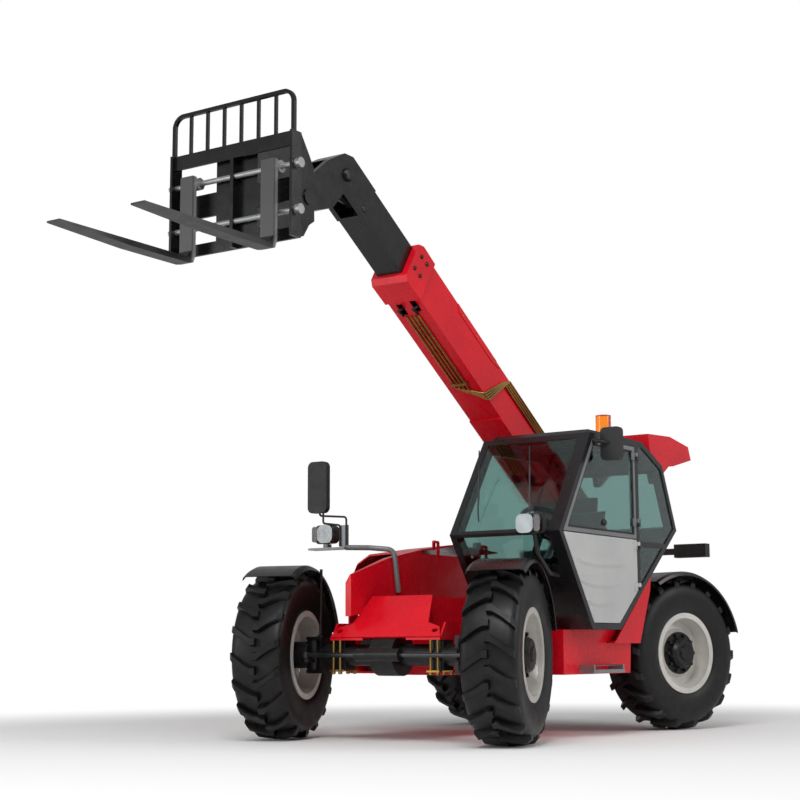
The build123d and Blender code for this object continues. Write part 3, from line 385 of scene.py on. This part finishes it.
# runs a tree on a source object and keeps the result as a plain mesh
def grown(name, source, tree, values, finishName, angle=35):
    modifier = source.modifiers.new("grow", "NODES")
    modifier.node_group = tree
    values = dict(values, Finish=finish[finishName])
    for item in tree.interface.items_tree:
        if item.name in values and item.in_out == "INPUT":
            modifier[item.identifier] = values[item.name]
    bpy.context.view_layer.update()
    depsgraph = bpy.context.evaluated_depsgraph_get()
    mesh = bpy.data.meshes.new_from_object(source.evaluated_get(depsgraph))
    mesh.name = name
    bpy.data.objects.remove(source)
    smoothMesh(mesh, angle)
    return newObject(name, mesh, finishName)


# turns Count copies of Shape about the Y axis and joins them to Base
def ringTree():
    tree, start = newTree("copiesRoundAxle", [
        ("Base", "Geometry"), ("Shape", "Object"), ("Count", "Int"), ("Finish", "Material")])
    points = addNode(tree, "GeometryNodeMeshLine", {"Offset": (0, 0, 0)}, {"Count": start["Count"]})
    index = addNode(tree, "GeometryNodeInputIndex")
    share = addNode(tree, "ShaderNodeMath", {"operation": "DIVIDE"},
                    {0: index.outputs["Index"], 1: start["Count"]})
    angle = addNode(tree, "ShaderNodeMath", {"operation": "MULTIPLY", 1: 2 * math.pi},
                    {0: share.outputs["Value"]})
    turn = addNode(tree, "ShaderNodeCombineXYZ", links={"Y": angle.outputs["Value"]})
    shape = addNode(tree, "GeometryNodeObjectInfo", links={"Object": start["Shape"]})
    copies = addNode(tree, "GeometryNodeInstanceOnPoints", links={
        "Points": points.outputs["Mesh"], "Instance": shape.outputs["Geometry"],
        "Rotation": turn.outputs["Vector"]})
    joined = addNode(tree, "GeometryNodeJoinGeometry", links={"Geometry": start["Base"]})
    tree.links.new(copies.outputs["Instances"], joined.inputs["Geometry"])
    closeTree(tree, start, joined.outputs["Geometry"])
    return tree


# stands a copy of Shape on each point, along the point's direction and at its width
def studTree():
    tree, start = newTree("copiesOnPoints", [
        ("Points", "Geometry"), ("Shape", "Object"), ("Finish", "Material")])
    reads = {}
    for label, kind in (("direction", "FLOAT_VECTOR"), ("width", "FLOAT")):
        node = addNode(tree, "GeometryNodeInputNamedAttribute", {"data_type": kind, "Name": label})
        reads[label] = [s for s in node.outputs if s.enabled and s.name == "Attribute"][0]
    turn = addNode(tree, "FunctionNodeAlignRotationToVector", {"axis": "Z"},
                   {"Vector": reads["direction"]})
    shape = addNode(tree, "GeometryNodeObjectInfo", links={"Object": start["Shape"]})
    copies = addNode(tree, "GeometryNodeInstanceOnPoints", links={
        "Points": start["Points"], "Instance": shape.outputs["Geometry"],
        "Rotation": turn.outputs["Rotation"], "Scale": reads["width"]})
    closeTree(tree, start, copies.outputs["Instances"])
    return tree


# runs a round tube along every chain of edges, its corners rounded by Bend
def tubeTree():
    tree, start = newTree("tubesAlongPaths", [
        ("Paths", "Geometry"), ("Radius", "Float"), ("Bend", "Float"), ("Sides", "Int"),
        ("Finish", "Material")])
    path = addNode(tree, "GeometryNodeMeshToCurve", links={"Mesh": start["Paths"]})
    bent = addNode(tree, "GeometryNodeFilletCurve",
                   {"mode": "POLY", "Count": 6, "Limit Radius": True},
                   {"Curve": path.outputs["Curve"], "Radius": start["Bend"]})
    ring = addNode(tree, "GeometryNodeCurvePrimitiveCircle", links={
        "Radius": start["Radius"], "Resolution": start["Sides"]})
    tube = addNode(tree, "GeometryNodeCurveToMesh", {"Fill Caps": True}, {
        "Curve": bent.outputs["Curve"], "Profile Curve": ring.outputs["Curve"]})
    closeTree(tree, start, tube.outputs["Mesh"])
    return tree


trees = {"ring": ringTree(), "studs": studTree(), "tubes": tubeTree()}


def tubes(name, body, finishName, radius, bend, paths, sides=12):
    points, edges = [], []
    for path in paths:
        edges += [(len(points) + k, len(points) + k + 1) for k in range(len(path) - 1)]
        points += [tuple(p) for p in path]
    mesh = bpy.data.meshes.new(name + "Paths")
    mesh.from_pydata(points, edges, [])
    piece = grown(name, newObject(name + "Paths", mesh, finishName), trees["tubes"],
                  {"Radius": radius, "Bend": bend, "Sides": sides}, finishName)
    finishPiece(piece, body)


# a stud head one unit wide, standing on Z 0, from rings of (radius, height)
def headShape(name, sides, profile):
    bm = bmesh.new()
    rings = [[bm.verts.new((radius * math.cos(2 * math.pi * k / sides),
                            radius * math.sin(2 * math.pi * k / sides), high))
              for k in range(sides)] for radius, high in profile]
    for low, top in zip(rings[:-1], rings[1:]):
        for k in range(sides):
            after = (k + 1) % sides
            bm.faces.new((low[k], low[after], top[after], top[k]))
    bm.faces.new(rings[0][::-1])
    bm.faces.new(rings[-1])
    return bpy.data.objects.new(name, meshFrom(name, bm))


headShapes = {
    "hex": headShape("hexHead", 6, [(0.62, 0.0), (0.62, 0.10), (0.5, 0.101), (0.5, 0.38),
                                    (0.43, 0.45)]),
    "round": headShape("roundHead", 12, [(0.5, 0.0), (0.5, 0.16), (0.42, 0.28), (0.2, 0.33)]),
    "socket": headShape("socketHead", 12, [(0.5, 0), (0.5, 0.3), (0.45, 0.35), (0.25, 0.35),
                                           (0.24, 0.2)]),
}


def studs(name, body, finishName, shapeName, spots):  # spots: place, direction, width
    mesh = bpy.data.meshes.new(name + "Spots")
    mesh.from_pydata([tuple(spot[0]) for spot in spots], [], [])
    for label, kind in (("direction", "FLOAT_VECTOR"), ("width", "FLOAT")):
        mesh.attributes.new(label, kind, "POINT")
    direction, width = mesh.attributes["direction"], mesh.attributes["width"]
    for k, spot in enumerate(spots):
        direction.data[k].vector = spot[1]
        width.data[k].value = spot[2]
    piece = grown(name, newObject(name + "Spots", mesh, finishName), trees["studs"],
                  {"Shape": headShapes[shapeName]}, finishName)
    finishPiece(piece, body)


# lug tyres: a carcass with moulded ribs on its walls, and a bar lug repeated round each half.
# Millimetres; the profile runs across the tyre as (distance from its middle, radius)
tyreSettings = {
    "radius": 618, "lugs": 18, "barWidth": 44, "barAngle": 33, "segments": 144,
    "profile": [
        (-169.5, 303), (-169.5, 322), (-181, 336), (-192, 372), (-200, 425), (-203, 468),
        (-200, 512), (-189, 545), (-170, 562), (-140, 569), (-80, 573), (0, 574), (80, 573),
        (140, 569), (170, 562), (189, 545), (200, 512), (203, 468), (200, 425), (192, 372),
        (181, 336), (169.5, 322), (169.5, 303)],
    "treadFrom": 540, "wallFrom": 175, "ribs": (354, 396, 500), "ribReach": 30, "ribHigh": 1.5,
    "levels": [(-12, 7.0), (10, 3.5), (27, 0.0), (32, -2.5)],  # height, growth of the outline
    "columns": (-12, 26, 70, 120, 162, 188),  # places along a bar, from the tyre's middle
    "bendAt": 26, "noseTo": 30, "noseWide": 1.2, "flareFrom": 120, "flareOver": 78,
    "flareWide": 0.3, "setBack": 8, "sunkTo": 20, "crown": 0.00042, "pitchRadius": 600,
    "endFrom": 180, "endRadius": 520, "endSlope": 1.3,
}


# the wheel's own frame: Y out along its axle, Z up, in the middle of the tyre
def wheelFrame(corner):
    axle = Vector(joints["wheel_" + corner + "_spin"]["axis"])
    if axle.y * wheelSides[corner] < 0:
        axle = -axle
    upright = Vector((0, 0, 1))
    turn = Matrix((axle.cross(upright), axle, upright)).transposed().to_4x4()
    low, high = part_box("tyre_" + corner)
    middle = [(low[k] + high[k]) / 2 for k in range(3)]
    return Matrix.Translation(middle) @ turn


# radius of one level of a bar, at a place along it
def lugRadius(s, tread, across, high):
    foot, top = s["levels"][0][0], s["levels"][-1][0]
    if across > s["endFrom"]:  # the outer end runs down the shoulder
        return s["endRadius"] + (high - foot) * s["endSlope"]
    if high >= s["sunkTo"]:
        return s["radius"] - s["crown"] * across * across - (top - high)
    reach = abs(across)
    return [r0 + (r1 - r0) * (reach - y0) / (y1 - y0) + high
            for (y0, r0), (y1, r1) in zip(tread[:-1], tread[1:]) if y0 <= reach <= y1][0]


def lugShape(s):
    bm = bmesh.new()
    lean = math.tan(math.radians(s["barAngle"]))
    tread = [p for p in s["profile"] if p[1] > s["treadFrom"] and p[0] >= 0]
    steps = range(len(s["levels"]) - 1)
    for side in (1, -1):
        offset = 0 if side == 1 else math.pi / s["lugs"]
        columns = []
        for across in s["columns"]:
            flare = 1 + s["flareWide"] * max(0, (across - s["flareFrom"]) / s["flareOver"])
            wide = s["barWidth"] / 2 * (s["noseWide"] if across < s["noseTo"] else flare)
            middle = max(0, across - s["bendAt"]) * lean - s["setBack"]
            column = []
            for sign in (1, -1):
                stack = []
                for high, grow in s["levels"]:
                    r = lugRadius(s, tread, across, high)
                    angle = offset + (middle + sign * (wide + grow)) / s["pitchRadius"]
                    stack.append(bm.verts.new((r * math.sin(angle) / 1000, side * across / 1000,
                                               r * math.cos(angle) / 1000)))
                column.append(stack)
            columns.append(column)
        for (a0, b0), (a1, b1) in zip(columns[:-1], columns[1:]):
            for k in steps:
                bm.faces.new((a0[k], a0[k + 1], a1[k + 1], a1[k]))
                bm.faces.new((b0[k], b1[k], b1[k + 1], b0[k + 1]))
            bm.faces.new((a0[-1], b0[-1], b1[-1], a1[-1]))
            bm.faces.new((a0[0], a1[0], b1[0], b0[0]))
        for a, b in (columns[0], columns[-1]):
            for k in steps:
                bm.faces.new((a[k], b[k], b[k + 1], a[k + 1]))
    bmesh.ops.recalc_face_normals(bm, faces=bm.faces)
    return bpy.data.objects.new("barLug", meshFrom("barLug", bm))


def carcass(s):
    bm = bmesh.new()
    rings = []
    for k in range(s["segments"]):
        a = 2 * math.pi * k / s["segments"]
        ring = []
        for y, r in s["profile"]:
            bulge = sum(s["ribHigh"] for rib in s["ribs"]
                        if abs(y) > s["wallFrom"] and abs(r - rib) < s["ribReach"])
            ring.append(bm.verts.new((r * math.sin(a) / 1000, (y + math.copysign(bulge, y)) / 1000,
                                      r * math.cos(a) / 1000)))
        rings.append(ring)
    count = len(s["profile"])
    for k in range(s["segments"]):
        first, second = rings[k], rings[(k + 1) % s["segments"]]
        for j in range(count):
            after = (j + 1) % count
            bm.faces.new((first[j], first[after], second[after], second[j]))
    return fromBmesh("carcass", bm, "tyreRubber")


barLug = lugShape(tyreSettings)
for corner in wheelSides:
    tyre = grown("lugTyre_" + corner, carcass(tyreSettings), trees["ring"],
                 {"Shape": barLug, "Count": tyreSettings["lugs"]}, "tyreRubber", 40)
    tyre.data.transform(wheelFrame(corner))
    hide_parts("tyre_" + corner)
    finishPiece(tyre, "wheel_" + corner)
print("tyres made")

# bolts of the wear pads and of the stiffener cover
boomBolts = {
    "wearPads": [(3.791, 0.103), (3.707, 0.104), (3.814, -0.04), (3.729, -0.041)],
    "cover": [(2.52, 0.145), (2.83, 0.145), (3.08, 0.145)],
    "padFace": 0.1645, "coverFace": 0.148, "padWidth": 0.034, "coverWidth": 0.018,
}
studs("wearPadBolts", "boom", "blackCasting", "round", [
    (boomAt(u, v, side * boomBolts["padFace"]), side * left, boomBolts["padWidth"])
    for u, v in boomBolts["wearPads"] for side in (1, -1)])
studs("coverBolts", "boom", "yellowZinc", "round", [
    (boomAt(u, v, boomBolts["coverFace"]), left, boomBolts["coverWidth"])
    for u, v in boomBolts["cover"]])

# pins of the boom head: a boss with a ring of bolts on it, and a plug behind it
headPins = {
    "boss": {"at": (4.79, -0.035), "face": 0.121, "width": 0.10},
    "plug": {"at": (4.50, -0.09), "face": 0.1115, "width": 0.062},
    "bolts": 6, "boltCircle": 0.033, "boltsOut": 0.02, "boltWidth": 0.012,
}
studs("headPins", "inner_boom", "blackCasting", "round", [
    (boomAt(*pin["at"], side * pin["face"]), side * left, pin["width"])
    for pin in (headPins["boss"], headPins["plug"]) for side in (1, -1)])
boss, headBolts = headPins["boss"], []
for k in range(headPins["bolts"]):
    angle = k * math.pi * 2 / headPins["bolts"]
    u = boss["at"][0] + headPins["boltCircle"] * math.cos(angle)
    v = boss["at"][1] + headPins["boltCircle"] * math.sin(angle)
    headBolts += [(boomAt(u, v, side * (boss["face"] + headPins["boltsOut"])),
                   side * left, headPins["boltWidth"]) for side in (1, -1)]
studs("headPinBolts", "inner_boom", "yellowZinc", "hex", headBolts)
print("boom bolts made")

# hydraulic hoses that loop from the pipe ends into the ports under the collar; the route runs
# up the boom from the pipe end, above the boom's middle line, and to the left of the port
hoseSettings = {
    "diameter": 0.022, "portsY": (-0.063, 0.07), "pipeU": 3.47, "resolution": 4,
    "route": [(0, -0.184, -0.02), (0.045, -0.187, -0.018), (0.085, -0.215, -0.008),
              (0.10, -0.225, 0.01), (0.09, -0.20, 0.022), (0.075, -0.165, 0.024)],
}


def hoseLine(name, route):
    curve = bpy.data.curves.new(name, "CURVE")
    curve.dimensions = "3D"
    spline = curve.splines.new("NURBS")
    spline.points.add(len(route) - 1)
    for point, place in zip(spline.points, route):
        point.co = (*place, 1)
    spline.order_u = 3
    spline.use_endpoint_u = True
    return curve


def lengthAlong(route):
    holder = bpy.data.objects.new("centre", hoseLine("centre", route))
    places = [vertex.co for vertex in bpy.data.meshes.new_from_object(holder).vertices]
    bpy.data.objects.remove(holder)
    return sum((after - before).length for before, after in zip(places[:-1], places[1:]))


for index, y in enumerate(hoseSettings["portsY"]):
    name = "portHose%d" % (index + 1)
    route = [boomAt(hoseSettings["pipeU"] + u, v, y + aside)
             for u, v, aside in hoseSettings["route"]]
    curve = hoseLine(name, route)
    curve.bevel_depth = hoseSettings["diameter"] / 2
    curve.bevel_resolution = hoseSettings["resolution"]
    hose = newObject(name, curve, "hoseRubber")
    lengthAlong(route)
    finishPiece(hose, "boom")
print("hoses made")


# outline of a pane's outer face, as places along X and Z
def paneLoop(node, outerY, reach):
    spots = sorted({(round(v.co.x, 4), round(v.co.z, 4)) for v in nodes[node].data.vertices
                    if abs(v.co.y - outerY) < reach})

    def half(points):
        chain = []
        for p in points:
            while len(chain) > 1 and (
                    (chain[-1][0] - chain[-2][0]) * (p[1] - chain[-2][1])
                    - (chain[-1][1] - chain[-2][1]) * (p[0] - chain[-2][0])) <= 0:
                chain.pop()
            chain.append(p)
        return chain[:-1]
    return half(spots) + half(spots[::-1])


# rubber seal pressed round the door's pane
sealSettings = {"radius": 0.009, "bend": 0.02, "sides": 8, "out": 0.002, "reach": 0.004}
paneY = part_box("door_window")[1][1]
sealPath = [Vector((x, paneY + sealSettings["out"], z))
            for x, z in paneLoop("door_window", paneY, sealSettings["reach"])]
tubes("doorGlassSeal", "door_upper", "hoseRubber", sealSettings["radius"],
      sealSettings["bend"], [sealPath + sealPath[:2]], sealSettings["sides"])

# the windscreen's two wipers, each an arm and a blade
wiperSettings = {
    "arm": 0.006, "blade": 0.005, "bend": 0.01, "sides": 8, "pivots": (0.42, 0.86),
    "pivotFrom": (-0.06, 0.10), "lean": 0.16, "length": 0.42, "elbow": 0.08, "elbowOut": 0.010,
    "bladeHalf": 0.24, "bladeUpper": 0.7, "glassTop": 0.23, "glassRise": 0.79, "footOut": 0.012,
    "footZ": 1.50,
}


def makeWipers(s):
    glassLow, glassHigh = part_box("windscreen")
    rake = Vector((glassLow[0] + s["glassTop"] - glassHigh[0], 0, s["glassRise"])).normalized()
    foot = Vector((glassHigh[0] + s["footOut"], 0, s["footZ"]))
    way = (rake + Vector((0, -s["lean"], 0))).normalized()
    arms, blades = [], []
    for y in s["pivots"]:
        start = foot + Vector((s["pivotFrom"][0], y, s["pivotFrom"][1]))
        tip = start + way * s["length"]
        arms.append([start, start + way * s["elbow"] + Vector((s["elbowOut"], 0, 0)), tip])
        blades.append([tip - way * s["bladeHalf"], tip + way * s["bladeHalf"] * s["bladeUpper"]])
    tubes("wiperArms", "chassis", "grainedAbs", s["arm"], s["bend"], arms,
          s["sides"])
    tubes("wiperBlades", "chassis", "hoseRubber", s["blade"], s["bend"], blades,
          s["sides"])


makeWipers(wiperSettings)
print("cab trim made")

# driver's seat: crowned pads with sewn channels in place of the plain seat solid
seatLow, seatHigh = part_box("seat")
seatY = (seatLow[1] + seatHigh[1]) / 2
seatWide = seatHigh[1] - seatLow[1] - 0.02
seatSettings = {
    "steps": 28, "squareness": 6, "crown": 0.42, "drawnIn": 0.03,
    "channels": 4, "channelDeep": 0.006, "channelWide": 0.16,
    # middle, length and thickness of each pad along X and Z
    "cushion": {"at": (seatHigh[0] - 0.235, seatLow[2] + 0.085), "along": (0.42, 0.02),
                "thick": (-0.005, 0.125), "wide": seatWide},
    "back": {"at": (seatLow[0] + 0.155, seatLow[2] + 0.40), "along": (-0.10, 0.44),
             "thick": (0.11, 0.025), "wide": seatWide},
    "headrest": {"at": (seatLow[0] + 0.075, seatHigh[2] - 0.09), "along": (-0.02, 0.15),
                 "thick": (0.075, 0.015), "wide": 0.26},
    "postX": seatHigh[0] - 0.24, "postFoot": seatLow[2] + 0.004, "postTop": seatLow[2] + 0.05,
    "postRadius": 0.05, "postBend": 0.02,
}


def pad(bm, shape, s):  # a closed crowned pad
    origin = Vector((shape["at"][0], seatY, shape["at"][1]))
    along = Vector((shape["along"][0], 0, shape["along"][1]))
    thick = Vector((shape["thick"][0], 0, shape["thick"][1]))
    across = Vector((0, shape["wide"], 0))
    steps = s["steps"]
    for side in (1, -1):
        grid = []
        for i in range(steps + 1):
            a = -1 + 2 * i / steps
            ripple = math.cos(math.pi * s["channels"] * (a + 1) / 2)
            channel = s["channelDeep"] * math.exp(-(ripple / s["channelWide"]) ** 2)
            row = []
            for j in range(steps + 1):
                c = -1 + 2 * j / steps
                edge = (1 - abs(a) ** s["squareness"]) * (1 - abs(c) ** s["squareness"])
                pull = 1 - s["drawnIn"] * (1 - abs(a * c))
                lift = (thick * 0.5 * edge ** s["crown"] * side
                        - channel * edge * side / thick.length * thick)
                row.append(bm.verts.new(origin + along * (a / 2) * pull
                                        + across * (c / 2) * pull + lift))
            grid.append(row)
        for i in range(steps):
            for j in range(steps):
                patch = (grid[i][j], grid[i + 1][j], grid[i + 1][j + 1], grid[i][j + 1])
                bm.faces.new(patch if side == 1 else patch[::-1])


bm = bmesh.new()
for padName in ("cushion", "back", "headrest"):
    pad(bm, seatSettings[padName], seatSettings)
seatPads = fromBmesh("seatPads", bm, "wovenSeatCloth", 60)
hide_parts("seat")
finishPiece(seatPads, "chassis")
seatPost = [Vector((seatSettings["postX"], seatY, seatSettings[end]))
            for end in ("postFoot", "postTop")]
tubes("seatPost", "chassis", "grainedAbs", seatSettings["postRadius"],
      seatSettings["postBend"], [seatPost])
print("seat made")

# teeth in two rows along the step, and the knob of the door's window
stepTeeth = {"count": 11, "pitch": 0.046, "inset": 0.03, "sunk": 0.009, "width": 0.016}
stepLow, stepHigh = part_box("step")
studs("stepTeeth", "chassis", "galvanisedSteel", "socket", [
    (Vector((stepLow[0] + stepTeeth["inset"] + stepTeeth["pitch"] * k, y,
             stepHigh[2] - stepTeeth["sunk"])), Vector((0, 0, 1)), stepTeeth["width"])
    for k in range(stepTeeth["count"])
    for y in (stepLow[1] + stepTeeth["inset"], stepHigh[1] - stepTeeth["inset"])])
windowKnob = {"x": -1.193, "z": 1.599, "width": 0.05}
studs("windowKnob", "door_upper", "grainedAbs", "round", [
    (ahead(windowKnob["x"], paneY, windowKnob["z"]), left, windowKnob["width"])])
print("trim made")

studio = {
    "cameraAt": (9.9865, 6.57, 0.676), "yaw": 214.12, "pitch": 8.85, "roll": 0.2, "lens": 71.4,
    "sensor": 36, "clipEnd": 200,
    "keyLight": {"at": (7.5, 3.5, 9.5), "aim": (-0.3, 0.2, 1.5), "size": 5.0, "watts": 800},
    "fillLight": {"at": (-4.0, 10.0, 6.0), "aim": (-0.5, 0.0, 1.4), "size": 6.0, "watts": 300},
    "lowLight": {"at": (8.5, -5.0, 3.0), "aim": (0.5, 0.0, 1.2), "size": 4.0, "watts": 160},
    "skyStrength": 0.4, "seenSky": 1.0,
    # the floor is lit up to a distance, and beyond it as white as the sky
    "floorEdge": 60.0, "floorColour": "#F4F4F4", "floorRoughness": 0.9, "floorGlow": 1.0,
    "floorFade": (3.6, 7.0), "fadeStretch": (0.8, 1.0, 0.0),
}


def areaLight(name, s):
    light = bpy.data.lights.new(name, "AREA")
    light.shape = "SQUARE"
    light.size = s["size"]
    light.energy = s["watts"]
    holder = bpy.data.objects.new(name, light)
    bpy.context.scene.collection.objects.link(holder)
    holder.location = s["at"]
    holder.rotation_euler = (Vector(s["aim"]) - Vector(s["at"])).to_track_quat("-Z", "Y").to_euler()


def setCamera(s):
    camera = bpy.data.objects.new("studioCamera", bpy.data.cameras.new("studioCamera"))
    bpy.context.scene.collection.objects.link(camera)
    camera.data.lens = s["lens"]
    camera.data.sensor_width = s["sensor"]
    camera.data.clip_end = s["clipEnd"]
    yaw, pitch = math.radians(s["yaw"]), math.radians(s["pitch"])
    look = Vector((math.cos(pitch) * math.cos(yaw), math.cos(pitch) * math.sin(yaw),
                   math.sin(pitch)))
    turn = look.to_track_quat("-Z", "Y").to_matrix()
    camera.location = s["cameraAt"]
    camera.rotation_euler = (turn @ Matrix.Rotation(math.radians(-s["roll"]), 3, "Z")).to_euler()
    bpy.context.scene.camera = camera


def setSky(s):
    world = bpy.data.worlds.new("studioSky")
    bpy.context.scene.world = world
    world.use_nodes = True
    tree = world.node_tree
    tree.nodes.clear()
    soft, plain = [addNode(tree, "ShaderNodeBackground", {"Color": (1, 1, 1, 1), "Strength": much})
                   for much in (s["skyStrength"], s["seenSky"])]
    rays = addNode(tree, "ShaderNodeLightPath").outputs
    seen = addNode(tree, "ShaderNodeMath", {"operation": "MAXIMUM"},
                   {0: rays["Is Camera Ray"], 1: rays["Is Transmission Ray"]})
    mix = addNode(tree, "ShaderNodeMixShader", links={
        0: seen.outputs["Value"], 1: soft.outputs["Background"], 2: plain.outputs["Background"]})
    addNode(tree, "ShaderNodeOutputWorld", links={"Surface": mix.outputs["Shader"]})


def makeFloor(s):
    edge = s["floorEdge"]
    mesh = bpy.data.meshes.new("studioFloor")
    mesh.from_pydata([(-edge, -edge, 0), (edge, -edge, 0), (edge, edge, 0), (-edge, edge, 0)],
                     [], [(0, 1, 2, 3)])
    floor = bpy.data.objects.new("studioFloor", mesh)
    bpy.context.scene.collection.objects.link(floor)
    material, tree, place, shader = newMaterial("paleFloor")
    shader.inputs["Base Color"].default_value = linearColour(s["floorColour"])
    shader.inputs["Roughness"].default_value = s["floorRoughness"]
    flat = addNode(tree, "ShaderNodeVectorMath", {"operation": "MULTIPLY", 1: s["fadeStretch"]},
                   {0: place})
    reach = addNode(tree, "ShaderNodeVectorMath", {"operation": "LENGTH"},
                    {0: flat.outputs["Vector"]})
    fade = addNode(tree, "ShaderNodeMapRange", {
        "From Min": s["floorFade"][0], "From Max": s["floorFade"][1],
        "interpolation_type": "SMOOTHSTEP"}, {"Value": reach.outputs["Value"]})
    glow = addNode(tree, "ShaderNodeEmission", {"Strength": s["floorGlow"]})
    rays = addNode(tree, "ShaderNodeLightPath").outputs
    seen = addNode(tree, "ShaderNodeMath", {"operation": "MULTIPLY"},
                   {0: fade.outputs["Result"], 1: rays["Is Camera Ray"]})
    mix = addNode(tree, "ShaderNodeMixShader", links={
        0: seen.outputs["Value"], 1: shader.outputs["BSDF"], 2: glow.outputs["Emission"]})
    tree.links.new(mix.outputs["Shader"], tree.get_output_node("ALL").inputs["Surface"])
    mesh.materials.append(material)


setCamera(studio)
for lightName in ("keyLight", "fillLight", "lowLight"):
    areaLight(lightName, studio[lightName])
setSky(studio)
makeFloor(studio)
bpy.context.scene.view_settings.view_transform = "Standard"
print("studio set")
